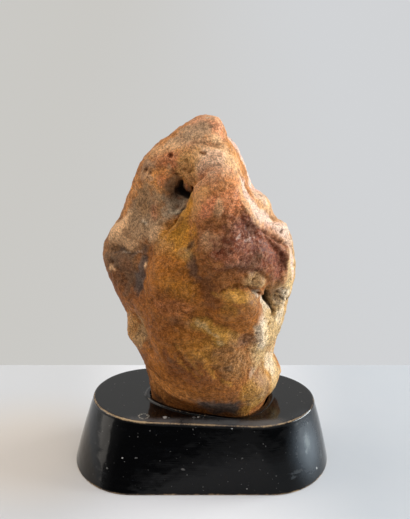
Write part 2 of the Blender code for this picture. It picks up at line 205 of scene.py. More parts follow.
# A groove with a negative depth is a ridge
GROOVES = rows(Groove, {
    "lip ridge": (
        ((199, 187), (195.5, 195), (190, 199.5), (186, 205.5), (182, 213), (178, 222)),
        1.3, -1.6,
    ),
    "line under the lip": (
        ((192, 197.5), (187.5, 201), (183, 206.5), (178.5, 214), (173, 223)),
        1.0, 1.9,
    ),
    "left crease": (LEFT_CREASE, 1.3, 0.9),
    "upright groove": (UPRIGHT_GROOVE, 4.0, -1.2),
    "dark streak": (((194, 256), (193, 266), (190, 278)), 2.4, 0.4),
    "shoulder furrow": (((263, 228), (271, 234), (277, 238), (286, 241), (292, 246)), 1.4, 2.8),
    "shoulder furrow, upper": (((276, 229), (283, 235), (291, 240)), 0.8, 1.1),
    "ridge under the furrow": (((266, 235), (275, 243), (284, 249), (290, 256)), 1.8, -1.2),
    "crease over the yellow bump": (
        ((222, 292), (229, 288.7), (239, 287), (248, 288), (257, 293.5), (264, 297)),
        1.1, 2.0,
    ),
    "crack from the cavity": (((277, 297.5), (283, 297.5), (291, 296.5)), 0.9, 2.2),
    "lip of the cavity": (((260, 291), (266, 298), (271, 306), (275, 314)), 1.3, -1.4),
    "left valley": (((134, 309), (140, 324), (147, 338), (153, 352)), 2.6, 0.4),
    "ridge crest": (
        ((227, 142), (236, 157), (242, 173), (248, 190), (256, 207), (267, 219), (277, 226)),
        4.5, -0.8,
    ),
    "slit": (((237, 170), (241, 181)), 0.8, 1.8),
    "slit 2": (((244, 186), (248, 193)), 0.8, 1.5),
    "slit 3": (((258, 207), (264, 214)), 0.7, 1.0),
    "under the knob": (((227, 139), (218, 144), (206, 147), (190, 151)), 2.2, 1.1),
    "seam down the central mass": (((222, 212), (219, 226), (224, 240), (221, 252)), 1.6, 0.5),
    "seam across the central mass": (((196, 240), (210, 242), (226, 238), (244, 240)), 1.8, 0.5),
    "belly fold": (((176, 346), (186, 362), (197, 378)), 2.4, 1.0),
    "belly fold 2": (((164, 352), (172, 368), (184, 384)), 2.0, 0.8),
    "belly fold 3": (((206, 352), (214, 368), (220, 382)), 2.4, 0.7),
    "scratch": (((234, 339), (240.5, 341)), 0.6, 0.6),
    "pale arc": (((248, 378), (249, 370), (256, 365)), 1.0, -0.7),
    "back seam": ((Around(225, 150), Around(195, 142), Around(165, 128), Around(140, 100)), 2.4, 3.0),
    "back seam 2": ((Around(150, 205), Around(140, 185), Around(122, 160)), 2.0, 2.4),
    "back seam 3": ((Around(205, 225), Around(215, 205), Around(205, 180)), 2.0, 2.2),
    "left seam": ((Around(275, 150), Around(255, 138), Around(240, 118)), 2.0, 2.0),
})
# The right-hand side of a ledge's path, walking along it outside the stone, is low
LEDGES = rows(Ledge, {
    "step at the lip": (
        ((201, 184), (196, 194), (190, 201), (184.5, 209), (179.5, 217), (173, 226)),
        3.4, 8.0, 0.9,
    ),
    "step at the left crease": (LEFT_CREASE, 0.7, 8.0, 1.0),
    "step at the upright groove": (UPRIGHT_GROOVE, 0.7, 7.0, 1.2),
    "step over the yellow bump": (((257, 293.5), (248, 288), (239, 287), (229, 288.7)), 1.2, 4.0, 0.8),
    "shelf": (((220, 326), (208, 320), (196, 319)), 0.9, 5.0, 1.2),
    "foot of the maroon face": (((226, 268), (244, 267), (258, 270), (270, 278)), 1.6, 6.0, 1.4),
    "brow of the peak": (((186, 136), (200, 143), (216, 143)), 1.2, 6.0, 1.4),
    "back step": ((Around(200, 190), Around(180, 182), Around(158, 186)), 3.0, 9.0, 1.2),
    "back step 2": ((Around(150, 95), Around(175, 104), Around(205, 98)), 2.8, 9.0, 1.2),
})
# Crests are pushed forward, towards the front, so that the face beside them lies flatter
CRESTS = rows(Groove, {
    "crest of the right ridge": (((229, 150), (235, 166), (240, 184), (244, 200)), 9.0, -1.6),
    "crest of the shoulder": (
        ((244, 200), (250, 213), (260, 224), (270, 233), (281, 242), (287, 254)),
        7.0, -5.0,
    ),
    "crest below the shoulder": (((287, 254), (288, 266), (284, 278)), 6.0, -4.5),
    "crest of the yellow bump": (((248, 293), (256, 303), (259, 314)), 4.5, -1.6),
    "crest of the waist": (((262, 318), (264, 334), (262, 350)), 6.0, -1.6),
    "crest of the foot lobe": (((256, 362), (255, 382), (252, 402)), 9.0, -1.4),
})

# Each paint has a reflectance in red, green and blue, and how coarse the stone is under it
PAINTS = {
    "brown": (0.235, 0.080, 0.019, 0.35),
    "umber": (0.115, 0.057, 0.028, 0.25),
    "ink": (0.080, 0.055, 0.045, 0.25),
    "soot": (0.030, 0.020, 0.014, 0.20),
    "slate": (0.350, 0.275, 0.185, 0.30),
    "moss": (0.310, 0.180, 0.090, 0.45),
    "ash": (0.380, 0.235, 0.135, 0.40),
    "salmon": (0.560, 0.262, 0.140, 0.30),
    "peach": (0.610, 0.350, 0.175, 0.38),
    "shell": (0.600, 0.410, 0.320, 0.80),
    "pink": (0.640, 0.330, 0.250, 0.60),
    "cream": (0.620, 0.490, 0.350, 0.70),
    "rust": (0.360, 0.112, 0.034, 0.80),
    "brick": (0.600, 0.180, 0.070, 0.80),
    "orange": (0.490, 0.188, 0.044, 0.50),
    "maroon": (0.165, 0.032, 0.009, 0.85),
    "plum": (0.150, 0.055, 0.019, 0.60),
    "ochre": (0.470, 0.220, 0.062, 0.70),
    "gold": (0.470, 0.190, 0.020, 0.35),
    "amber": (0.340, 0.112, 0.015, 0.30),
    "honey": (0.400, 0.185, 0.027, 0.30),
    "khaki": (0.420, 0.262, 0.108, 0.85),
    "olive": (0.235, 0.102, 0.028, 0.60),
    "chestnut": (0.200, 0.059, 0.011, 0.30),
    "sand": (0.560, 0.365, 0.150, 0.60),
}
BASE_PAINT = "brown"
# Patches and streaks are painted one over another, in this order. Some of them are painted light and shade,
# noted where they stand.
PATCHES = rows(Patch, {
    "upper half": ("orange", (200, 170), (50, 46), 0, 0.7),
    "right side": ("sand", Around(80, 130), (22, 42), 0, 0.55),
    "right side, high": ("peach", Around(80, 190), (20, 26), 0, 0.6),
    "right side, low": ("honey", Around(80, 75), (20, 18), 0, 0.7),
    "left side": ("moss", Around(275, 170), (20, 26), 0, 0.6),
    "left side, low": ("chestnut", Around(270, 120), (20, 24), 0, 0.6),
    "belly": ("amber", (185, 330), (45, 60), 0, 0.8),
    "peak knob": ("salmon", (208, 122), (14, 12), 0, 0.9),
    "right side of the knob": ("brick", (217, 130), (4, 6), 0, 0.5),
    "grey band under the knob": ("ash", (193, 131), (14, 6.5), 16, 0.9),
    "grey band, lower left": ("ash", (178, 141), (12, 5), 32, 0.8),
    # The cream speck on the knob is a painted highlight
    "speck on the knob": ("cream", (208, 119), (1.7, 1.1), 20, 0.8),
    "dark line under the knob": ("umber", (203, 128), (9, 1.8), 6, 0.15),
    "peak knob, pale": ("peach", (213, 117), (7, 5), 0, 0.3),
    "saddle": ("salmon", (206, 144), (16, 5), 4, 0.8),
    "pale band over the brow": ("peach", (164, 149), (15, 6), 28, 0.6),
    "upper right face": ("peach", (212, 163), (17, 19), 10, 1.0),
    "upper right face, orange": ("orange", (203, 174), (6, 10), 10, 0.5),
    "upper right face, pale": ("shell", (211, 165), (9, 12), 10, 0.45),
    "right of the cave": ("peach", (207, 186), (7, 9), 0, 0.6),
    "brow over the cave": ("brick", (176, 162), (12, 7), 10, 0.7),
    "brow, dark side": ("rust", (179, 163), (7, 6), 0, 0.7),
    "left of the brow": ("rust", (158, 164), (8, 7), 40, 0.6),
    # The pale line down the brow is a painted highlight
    "pale line down the brow": ("peach", (168, 170), (1.8, 5), -5, 0.8),
    "left shoulder, grey": ("ash", (147, 172), (8, 9), 20, 0.8),
    "shade by the left pit": ("plum", (146, 169), (5, 3), 20, 0.7),
    "orange left of the cave": ("orange", (158, 183), (11, 10), 0, 1.0),
    "brick left of the cave": ("brick", (163, 180), (5, 5), 0, 0.5),
    "orange band": ("orange", (137, 189), (14, 8), 14, 0.9),
    "pale spot on the shoulder": ("cream", (149, 178), (3, 1.8), 0, 0.25),
    "left face": ("moss", (143, 213), (17, 20), -15, 0.95),
    "left face, low": ("moss", (154, 230), (11, 8), -20, 0.8),
    "left face, dark": ("olive", (142, 203), (10, 8), -20, 0.45),
    "brown spot": ("rust", (153, 212), (4, 6), 0, 0.7),
    "left edge, high": ("orange", (124, 205), (5, 11), -20, 0.8),
    "left edge": ("peach", (117, 227), (6, 12), -20, 0.95),
    "pale streak on the face": ("cream", (142, 223), (4, 1.3), 15, 0.5),
    "grey light on the face": ("ash", (150, 222), (6, 5), 0, 0.2),
    "warm face": ("peach", (158, 234), (8, 5), -10, 0.6),
    "slope": ("slate", (175, 203), (6.5, 12), -28, 0.95),
    # Painted shade: the umber at the slope's top and foot, and the soot in the cave
    "slope, top": ("umber", (173, 186), (5, 9), -20, 0.9),
    "slope, foot": ("umber", (184, 201), (2.4, 8), -35, 0.5),
    "cave": ("soot", (185, 190), (7, 5), 20, 0.9),
    "tongue": ("ochre", (190, 167), (8.5, 13), 0, 1.0),
    "tongue, dark grains": ("rust", (188, 172), (4, 7), 0, 0.2),
    "tongue, tip": ("rust", (187, 187), (3, 3.4), 0, 0.9),
    "lip dot": ("cream", (194.4, 193.6), (1.4, 1.4), 0, 0.9),
    "central mass": ("rust", (222, 212), (22, 28), 12, 0.95),
    "central mass, orange": ("orange", (224, 193), (12, 10), 12, 0.35),
    "red spot": ("brick", (209, 210), (8, 10), 10, 0.95),
    "red spot, right": ("brick", (229, 202), (7, 7), 0, 0.45),
    "pale vein in the centre": ("peach", (219, 208), (2.6, 6), 0, 0.7),
    "orange under the red": ("orange", (214, 224), (9, 5), 0, 0.6),
    "gold edge of the mass": ("ochre", (198, 203), (5, 12), -15, 0.75),
    "gold strip": ("gold", (189, 210), (4, 11), -30, 0.95),
    "lower mass": ("brown", (214, 250), (20, 22), 0, 0.85),
    "central red": ("rust", (222, 238), (15, 8), 0, 0.65),
    "light in the central red": ("peach", (212, 241), (8, 6), 0, 0.55),
    "lower mass, orange": ("orange", (226, 263), (10, 7), 0, 0.55),
    "trough": ("gold", (178, 238), (11, 13), -25, 1.0),
    "trough, low": ("gold", (180, 252), (12, 7), -10, 0.9),
    "trough, low light": ("honey", (185, 254), (7, 5), 0, 0.6),
    # The sand low in the trough is painted light, paler than the gold so that this shaded spot reads lit
    "trough, low, pale": ("sand", (185, 255), (6, 4.5), 0, 0.4),
    "trough, bright": ("honey", (176, 240), (6, 7), -20, 0.5),
    "trough, upper light": ("honey", (184, 223), (3.4, 6), -30, 0.5),
    "left of the trough": ("ochre", (163, 247), (8, 6), 0, 0.7),
    "maroon face": ("maroon", (259, 246), (23, 19), -20, 1.0),
    "maroon, left": ("maroon", (240, 252), (18, 15), 0, 1.0),
    "maroon face, top": ("maroon", (246, 230), (15, 11), -30, 1.0),
    # Painted shade: the soot on the maroon's top and the umber low on it darken where the side light falls
    "maroon, dark top": ("soot", (249, 228), (7, 5), -30, 0.4),
    "maroon, right": ("maroon", (279, 264), (10, 14), 0, 1.0),
    "maroon, low": ("umber", (243, 262), (12, 6), 0, 0.8),
    "maroon, low left": ("maroon", (240, 260), (9, 6), 0, 0.9),
    "maroon, low left, shade": ("soot", (241, 262), (8, 5), 0, 0.35),
    "red in the maroon": ("brick", (232, 257), (7, 4.5), 0, 0.30),
    "red in the maroon, top": ("brick", (264, 238), (7, 3), -30, 0.15),
    "red in the maroon, right": ("brick", (283, 274), (4, 4), 0, 0.15),
    "khaki knobs": ("khaki", (257, 281), (9, 6), -15, 0.7),
    "khaki knobs, brown": ("olive", (259, 278), (6, 4), 0, 0.6),
    "right edge": ("khaki", (291, 272), (5, 18), 0, 0.9),
    # The shell along the right edge is partly the stone's pale skin and partly a painted highlight of the
    # side light
    "right edge, cream": ("shell", (293, 266), (3.0, 12), 0, 0.8),
    "right edge, low": ("sand", (289, 290), (5, 9), 0, 0.8),
    # The cream on the cavity's wall is painted light: the wall lies in shade and is painted as if lit
    "cavity wall": ("cream", (279, 297), (8, 9), 0, 1.0),
    "cavity wall, brown": ("olive", (270.5, 293), (6, 6), 0, 0.8),
    "swell": ("amber", (170, 282), (20, 20), 0, 0.8),
    "swell, gold": ("gold", (177, 289), (12, 7), -15, 0.35),
    "swell, chestnut": ("chestnut", (160, 296), (14, 8), 0, 0.5),
    "brown between": ("chestnut", (210, 290), (8, 17), 12, 0.95),
    "brown between, dark": ("umber", (210, 288), (5, 12), 12, 0.35),
    "brown over the bump": ("brown", (226, 280), (12, 7), 0, 0.7),
    # The honey on the crown is partly a painted highlight
    "crown of the yellow bump": ("honey", (238, 296), (12, 5), -12, 0.9),
    "yellow bump": ("olive", (251, 301), (6, 8), -20, 0.5),
    "yellow bump, low": ("chestnut", (238, 311), (12, 6), -20, 0.45),
    "yellow bump, light": ("honey", (228, 310), (5, 5), -20, 0.5),
    "yellow bump, shaded": ("amber", (226, 318), (10, 5), -28, 0.7),
    # The cream under the cavity is partly the lip's pale skin and partly painted highlight on its slope to
    # the light
    "lip under the cavity": ("cream", (264, 305), (4.5, 9), 30, 0.8),
    "under the cavity": ("khaki", (272, 319), (9, 14), 10, 0.95),
    "right flank": ("khaki", (279, 324), (10, 22), 10, 0.95),
    "right flank, cream": ("cream", (281, 311), (4, 9), 0, 0.6),
    "waist": ("khaki", (264, 344), (12, 18), 10, 0.9),
    # The cream of the pale waist is partly the stone's pale skin and partly painted highlight of the side
    # light
    "pale waist": ("cream", (262, 331), (7, 13), 10, 0.8),
    "pale waist, pink": ("sand", (267, 331), (4, 8), 10, 0.4),
    "purple hollow": ("plum", (243, 341), (13, 5.5), -20, 0.75),
    "purple hollow, dark": ("umber", (241, 342), (7, 2.5), -20, 0.3),
    "plum by the waist": ("plum", (258, 336), (4, 5), 0, 0.3),
    # Partly painted highlight of the side light, as on the waist
    "pale patch over the lobe": ("cream", (269, 358), (7, 7), 10, 0.5),
    "lobe": ("moss", (260, 388), (11, 15), 25, 0.6),
    "lobe, pale": ("khaki", (258, 398), (8, 7), 25, 0.4),
    "lobe, gold": ("honey", (249, 392), (8, 11), 0, 0.6),
    "lobe, foot": ("honey", (250, 405), (12, 6), 15, 0.6),
    "lobe, right": ("khaki", (275, 371), (11, 15), 0, 0.9),
    # Partly painted highlight of the side light, as on the waist
    "lobe, right, pale": ("cream", (271, 363), (8, 8), 0, 0.5),
    # The cream of the pale arc is painted glints
    "pale arc": ("cream", (251, 371), (3, 4), -20, 0.25),
    "left of the lobe": ("olive", (236, 365), (11, 12), 0, 0.8),
    "ochre ridge": ("honey", (217, 332), (16, 6), -36, 0.9),
    "ochre under the streak": ("ochre", (196, 322), (8, 5), 0, 0.5),
    "belly, high": ("rust", (172, 308), (14, 7), 0, 0.5),
    "belly, chestnut": ("chestnut", (164, 327), (14, 13), 0, 0.65),
    "belly, plum": ("plum", (176, 321), (8, 5), 0, 0.35),
    "belly, ochre": ("honey", (206, 352), (17, 12), -20, 0.55),
    "belly, middle": ("amber", (188, 337), (12, 8), -20, 0.5),
    "belly, low": ("chestnut", (186, 370), (23, 12), -20, 0.9),
    "belly, right": ("olive", (226, 353), (10, 12), 0, 0.8),
    "belly, right, warm": ("chestnut", (225, 355), (8, 9), 0, 0.3),
    "left bump": ("ochre", (132, 327), (6, 13), -12, 0.9),
    "left valley": ("khaki", (143, 329), (5, 19), -22, 0.6),
    "left lower flank": ("amber", (155, 357), (9, 14), -15, 0.7),
    "orange foot band": ("orange", (172, 391), (28, 8), -16, 0.7),
    "foot": ("chestnut", (190, 402), (26, 4.4), -8, 0.7),
    "black patch at the foot": ("ink", (221, 407), (18, 9), -4, 1.0),
    "black patch, core": ("soot", (223, 408), (12, 6), -4, 0.35),
    "dark left foot": ("soot", (163, 403), (9, 2.4), -24, 0.6),
    "left foot, orange": ("orange", (160, 391), (9, 5), -20, 0.6),
    # Painted shade: the umber of the recess under the left crease
    "recess": ("umber", (121, 268), (15, 14), -20, 0.95),
    "recess, low": ("umber", (131, 284), (10, 10), 0, 0.9),
    "recess, brown": ("chestnut", (116, 282), (10, 11), -30, 0.5),
    "recess, rust": ("rust", (126, 264), (6, 5), -30, 0.15),
    "dark flank under the recess": ("chestnut", (137, 300), (10, 10), -30, 0.7),
    # Painted shade: the ink of the blue groove and the umber line over the recess. Painted highlight: the
    # peach band over the crease and the cream streak by it.
    "blue groove": ("ink", (142, 273), (4.6, 16), 0, 0.9),
    "dark line over the recess": ("umber", (120, 253), (11, 4), -6, 0.6),
    "light band over the crease": ("peach", (126, 243), (11, 4), -8, 0.6),
    "pale streak by the crease": ("cream", (139, 253), (5, 1.3), 8, 0.35),
    "peach mark": ("peach", (112, 269), (3.4, 2.2), 0, 0.8),
    "pale spot": ("peach", (146, 264), (2.0, 2.2), 0, 0.8),
    "dark streak": ("ink", (193.5, 267), (3.6, 10), 6, 0.65),
    "dark spot by the trough": ("umber", (191, 247), (2.2, 5), -20, 0.7),
    "belly specks": ("umber", (227, 369), (5, 2.4), -20, 0.5),
})
STREAKS = rows(Streak, {
    # The shell, pink and peach along the strip, the ridge, the shoulder and the bump on the ridge are
    # partly the stone's paler skin and partly painted highlight where the side light grazes
    "strip behind the ridge": ("shell", ((231, 140), (243, 158), (251, 174), (258, 192)), 7.5, 1.0),
    "pink in the strip": ("pink", ((234, 143), (244, 158), (252, 174), (259, 192)), 3.6, 0.6),
    "lit grains of the ridge": ("peach", ((234, 165), (239, 190), (246, 205), (260, 219)), 4.2, 0.5),
    "ridge": ("shell", ((240, 182), (248, 200), (259, 213), (272, 224), (284, 231)), 3.9, 0.8),
    "shoulder": ("shell", ((276, 227), (286, 235), (291, 247), (293, 258)), 3.8, 0.5),
    "shoulder, peach": ("salmon", ((262, 222), (272, 231), (283, 240)), 2.0, 0.45),
    "bump on the ridge": ("peach", ((256, 194), (263, 199), (268, 206)), 4.6, 0.95),
    "bump on the ridge, pale": ("shell", ((257, 195), (262, 200)), 4.0, 0.6),
    # Painted shade: the maroon line in the shoulder's furrow
    "furrow": ("maroon", ((268, 234), (277, 239), (288, 245)), 1.3, 0.9),
    "line over the maroon": ("shell", ((236, 235), (243, 238.5), (252, 237)), 1.0, 0.6),
    "lip line": ("honey", ((196, 194), (190, 199.5), (186, 205.5), (182, 213), (177, 222)), 1.8, 1.0),
    # Painted shade: the chestnut line in the crease over the bump
    "crease over the bump": ("chestnut", ((228, 289), (240, 287), (248, 288), (253, 291)), 0.9, 0.8),
    # The cream of the cavity's lip is partly its pale skin and partly painted highlight on its slope to the
    # light
    "cavity lip": ("cream", ((256, 292.5), (262, 298), (267, 304), (272, 310)), 2.2, 0.85),
    # Painted shade: the soot in the crack
    "crack": ("soot", ((280, 297.5), (290, 296.5)), 1.0, 0.9),
    "valley line": ("ash", ((136, 312), (143, 330), (151, 346)), 2.4, 0.3),
    # The light streak and its core are a painted highlight on the shelf
    "light streak": ("honey", ((197, 320), (206, 324), (214, 331), (220, 339)), 4.0, 0.8),
    "light streak, core": ("sand", ((196, 318), (206, 325), (215, 333), (222, 341)), 1.7, 0.6),
    # Painted shade: the ink in the left crease. Painted highlight: the cream line beside it.
    "crease line": ("ink", ((113, 250), (123, 250), (133, 254)), 1.2, 0.6),
    "pale line by the crease": ("cream", ((122, 252), (130, 251), (138, 253)), 0.8, 0.25),
    # Painted shade: the soot in the slit under the cave
    "slope line": ("soot", ((192, 196.5), (187, 201), (181, 207), (175, 215)), 1.1, 0.9),
    "belly striation": ("gold", ((172, 350), (184, 363), (198, 378)), 1.4, 0.45),
    "belly striation 2": ("honey", ((178, 346), (190, 358), (204, 374)), 1.0, 0.45),
    "belly striation 3": ("chestnut", ((166, 352), (178, 366), (190, 382)), 2.2, 0.8),
    "belly striation 4": ("umber", ((150, 344), (160, 352), (172, 358)), 1.4, 0.5),
    "belly striation 5": ("honey", ((206, 366), (216, 376), (230, 384)), 1.4, 0.5),
})
# Paints in clouds where the picture doesn't show, in this order, and how much of each
HIDDEN_PAINTS = {
    "amber": 0.80,
    "orange": 0.75,
    "moss": 0.70,
    "chestnut": 0.60,
    "ochre": 0.70,
    "gold": 0.60,
    "rust": 0.75,
    "salmon": 0.55,
    "khaki": 0.55,
    "maroon": 0.65,
    "peach": 0.50,
    "umber": 0.50,
}


# ---------------------------------------------------------------- numbers

# Noise: one pseudorandom arrow for each of TABLE_SIZE cells, which has to be a power of 2
TABLE_SIZE = 256
NOISE_GAIN = 1.6


def fade(value, low, high):
    """Rise smoothly from 0 at low to 1 at high."""
    along = np.clip((value - low) / (high - low), 0.0, 1.0)
    return along * along * (3.0 - 2.0 * along)


def bell(distance, reach):
    """1 at no distance, falling off smoothly to almost 0 at twice the reach."""
    return np.exp(-((distance / reach) ** 2))


def noise_tables(seed):
    random = np.random.default_rng(seed)
    order = random.permutation(TABLE_SIZE)
    arrows = random.normal(size=(TABLE_SIZE, 3))
    return order, arrows / np.linalg.norm(arrows, axis=1, keepdims=True)


def gradient_noise(points, seed):
    """Smooth noise between about -1 and 1, one value for each point."""
    order, arrows = noise_tables(seed)
    last = TABLE_SIZE - 1
    cell = np.floor(points).astype(int)
    inside = points - cell
    # The usual ease of the fifth degree, which is flat at both ends
    ease = inside**3 * (inside * (inside * 6.0 - 15.0) + 10.0)
    total = np.zeros(len(points))
    for corner in np.ndindex(2, 2, 2):
        x, y, z = ((cell + corner) & last).T
        arrow = arrows[order[(order[(order[x] + y) & last] + z) & last]]
        weight = np.prod(np.where(corner, ease, 1.0 - ease), axis=1)
        total += weight * np.einsum("ij,ij->i", arrow, inside - corner)
    return total * NOISE_GAIN


def cloud(points, size, seed, octaves, gain):
    """Fractal noise whose largest lumps are about size across. Each octave is half as wide."""
    total = np.zeros(len(points))
    share = 1.0
    for octave in range(octaves):
        total += share * gradient_noise(points / size, seed + octave)
        size *= 0.5
        share *= gain
    return total


def cloud_vectors(points, size, seeds, octaves, gain):
    """A fractal noise vector for each point, with a seed for each axis."""
    return np.stack([cloud(points, size, seed, octaves, gain) for seed in seeds], axis=1)


# ---------------------------------------------------------------- meshes

def mesh_points(mesh):
    flat = np.empty(len(mesh.vertices) * 3, np.float32)
    mesh.vertices.foreach_get("co", flat)
    return flat.reshape(-1, 3).astype(float)


def set_points(mesh, points):
    mesh.vertices.foreach_set("co", points.astype(np.float32).ravel())
    mesh.update()


def mesh_normals(mesh):
    flat = np.empty(len(mesh.vertices) * 3, np.float32)
    mesh.vertex_normals.foreach_get("vector", flat)
    return flat.reshape(-1, 3).astype(float)


def mesh_edges(mesh):
    flat = np.empty(len(mesh.edges) * 2, np.int32)
    mesh.edges.foreach_get("vertices", flat)
    return flat.reshape(-1, 2)


def search_tree(mesh, points):
    """What finds the nearest or the first point of a mesh, which has these points."""
    return BVHTree.FromPolygons(points.tolist(), [tuple(face.vertices) for face in mesh.polygons])


def smoothed(values, edges, rounds, share=0.5):
    """Move every value towards the mean of its neighbours, several times."""
    count = np.bincount(edges.ravel(), minlength=len(values)).astype(float)[:, None]
    for _ in range(rounds):
        total = np.zeros_like(values)
        for column in range(values.shape[1]):
            ahead = np.bincount(edges[:, 0], values[edges[:, 1], column], len(values))
            behind = np.bincount(edges[:, 1], values[edges[:, 0], column], len(values))
            total[:, column] = ahead + behind
        values = values + share * (total / count - values)
    return values


def store_values(mesh, name, values):
    attribute = mesh.attributes.new(name, "FLOAT", "POINT")
    attribute.data.foreach_set("value", values.astype(np.float32))


def store_colours(mesh, name, colours):
    solid = np.column_stack([colours, np.ones(len(colours))])
    attribute = mesh.attributes.new(name, "FLOAT_COLOR", "POINT")
    attribute.data.foreach_set("color", solid.astype(np.float32).ravel())


def add_piece(name, mesh):
    piece = bpy.data.objects.new(name, mesh)
    bpy.context.scene.collection.objects.link(piece)
    return piece


# ---------------------------------------------------------------- places on the stone

FLAT_LIMIT = 1e-4


def sight_direction(across, down):
    """The line of sight through a point of the picture."""
    right = across - PICTURE_WIDTH / 2.0
    up = PICTURE_HEIGHT / 2.0 - down
    forward = Vector((0.0, math.cos(VIEW_PITCH), -math.sin(VIEW_PITCH)))
    upward = Vector((0.0, math.sin(VIEW_PITCH), math.cos(VIEW_PITCH)))
    return (forward * FOCAL_LENGTH_PX + Vector((right, 0.0, 0.0)) + upward * up).normalized()


def nearest_to_sight(tree, direction):
    """The skin's point and normal nearest to a line of sight that just misses the stone."""
    hits = []
    for step in range(SIGHT_STEPS):
        along = SIGHT_START + (SIGHT_END - SIGHT_START) * step / (SIGHT_STEPS - 1)
        hits.append(tree.find_nearest(EYE + direction * along))
    point, normal, _, _ = min(hits, key=lambda hit: hit[3])
    return point, normal


def find_on_skin(tree, place):
    """The skin's point and normal at a place."""
    if isinstance(place, Around):
        bearing = math.radians(place.bearing)
        outward = Vector((math.sin(bearing), -math.cos(bearing), 0.0))
        start = outward + Vector((0.0, 0.0, place.height * MM))
        point, normal, _, _ = tree.ray_cast(start, -outward)
    else:
        direction = sight_direction(*place)
        point, normal, _, _ = tree.ray_cast(EYE, direction)
        if point is None:
            point, normal = nearest_to_sight(tree, direction)
    return np.array(point), np.array(normal)


def local_axes(normal, turn):
    """Two directions along the skin: turn is from level, and the other at right angles."""
    up = Vector((0.0, 0.0, 1.0))
    level = up.cross(Vector(normal))
    if level.length < FLAT_LIMIT:
        level = Vector((1.0, 0.0, 0.0))
    level.normalize()
    rise = Vector(normal).cross(level)
    angle = math.radians(turn)
    first = level * math.cos(angle) + rise * math.sin(angle)
    second = rise * math.cos(angle) - level * math.sin(angle)
    return np.array(first), np.array(second)


def patch_distance(points, tree, at, reach, turn):
    """Distance from a place, in reaches, and the skin's normal there."""
    centre, normal = find_on_skin(tree, at)
    first, second = local_axes(normal, turn)
    offset = points - centre
    along = offset @ first / (reach[0] * MM)
    aside = offset @ second / (reach[1] * MM)
    deep = offset @ normal / (max(reach) * MM)
    return np.sqrt(along**2 + aside**2 + deep**2), normal


def path_distance(points, tree, path):
    """Distance to a path over the skin, and the distance to its right side."""
    stops = [find_on_skin(tree, place) for place in path]
    nearest = np.full(len(points), np.inf)
    aside = np.zeros(len(points))
    for (start, start_normal), (end, end_normal) in zip(stops[:-1], stops[1:]):
        edge = end - start
        share = np.clip((points - start) @ edge / (edge @ edge), 0.0, 1.0)
        offset = points - start - share[:, None] * edge
        gap = np.linalg.norm(offset, axis=1)
        right = np.cross(edge, start_normal + end_normal)
        right /= np.linalg.norm(right)
        closer = gap < nearest
        nearest = np.where(closer, gap, nearest)
        aside = np.where(closer, offset @ right, aside)
    return nearest, aside


# ---------------------------------------------------------------- stone form

# Skin: flat pairs of triangles become quads, which are rounded and meshed evenly
WELD_DISTANCE = 0.02 * MM
QUAD_FACE_ANGLE = math.radians(60.0)
QUAD_SHAPE_ANGLE = math.radians(70.0)
SKIN_VOXEL = 0.95 * MM
SKIN_SMOOTHING = 2
# The foot, which fits the socket, isn't carved, and just above it nothing moves down
CARVING_STARTS = 49.0 * MM
CARVING_FULL = 57.0 * MM
LEVEL_BELOW = 50.0 * MM
LEVEL_ABOVE = 64.0 * MM
FRONT = np.array([0.0, -1.0, 0.0])
# The stone stays behind this, inside the box of the whole object
FRONT_LIMIT = -50.3 * MM
# A cave this many millimetres deep gets the full painted shade
FULL_SHADE_DEPTH = 7.0
# A cloud's numbers are the size of its lumps, its seed or seeds, its octaves and
# their gain. These two make the outlines of the features and of the paints waver.
WARP_CLOUD = (9.0 * MM, (107, 207, 307), 3, 0.5)
WARP_REACH = 1.1 * MM
SPILL_CLOUD = (10.0 * MM, (707, 807, 907), 4, 0.6)
SPILL_REACH = 2.0 * MM
# Fine relief
LUMP_CLOUD = (15.0 * MM, 17, 3, 0.6)
LUMP_RISE = 0.55 * MM
RIDGE_CLOUD = (19.0 * MM, 47, 3, 0.5)
RIDGE_RISE = 0.55 * MM
RIDGE_MIDDLE = 0.35
RIDGE_LIMIT = 0.7
KNOB_CLOUD = (4.2 * MM, 27, 2, 0.5)
KNOB_RISE = 0.34 * MM
GRAIN_CLOUD = (2.4 * MM, 37, 2, 0.8)
GRAIN_RISE = 0.12 * MM
GRAIN_COARSE_RISE = 0.24 * MM
# Relief is measured from a skin that is smoothed this often, and full at this height
RELIEF_ROUNDS = 18
RELIEF_FULL = 0.5 * MM
# Paint has ragged edges. It is solid within one reach, and there is none beyond the other.
RAGGED_CLOUD = (6.0 * MM, 507, 3, 0.65)
RAGGEDNESS = 0.30
SOLID_WITHIN = 0.55
CLEAR_BEYOND = 1.35
# Each hidden paint has a cloud of its own, and the seeds are a step apart
HIDDEN_SIZE = 34.0 * MM
HIDDEN_SEED = 207
HIDDEN_SEED_STEP = 10
HIDDEN_OCTAVES = 5
HIDDEN_GAIN = 0.6
HIDDEN_EDGE = (0.02, 0.62)
# Facing is 1 where the skin faces the camera and -1 where it faces away. The hidden
# paints are whole below their first value and gone above the second. The front's
# patches are weaker by SIDE_FADE below their first value and whole above the second.
HIDDEN_FACING = (-0.25, 0.15)
SIDE_FACING = (-0.80, -0.15)
SIDE_FADE = 0.65


def swell_moves(points, normals, tree):
    rise = np.zeros(len(points))
    for swell in SWELLS:
        distance, _ = patch_distance(points, tree, swell.at, swell.reach, swell.turn)
        rise += swell.rise * MM * bell(distance, 1.0)
    return normals * rise[:, None]


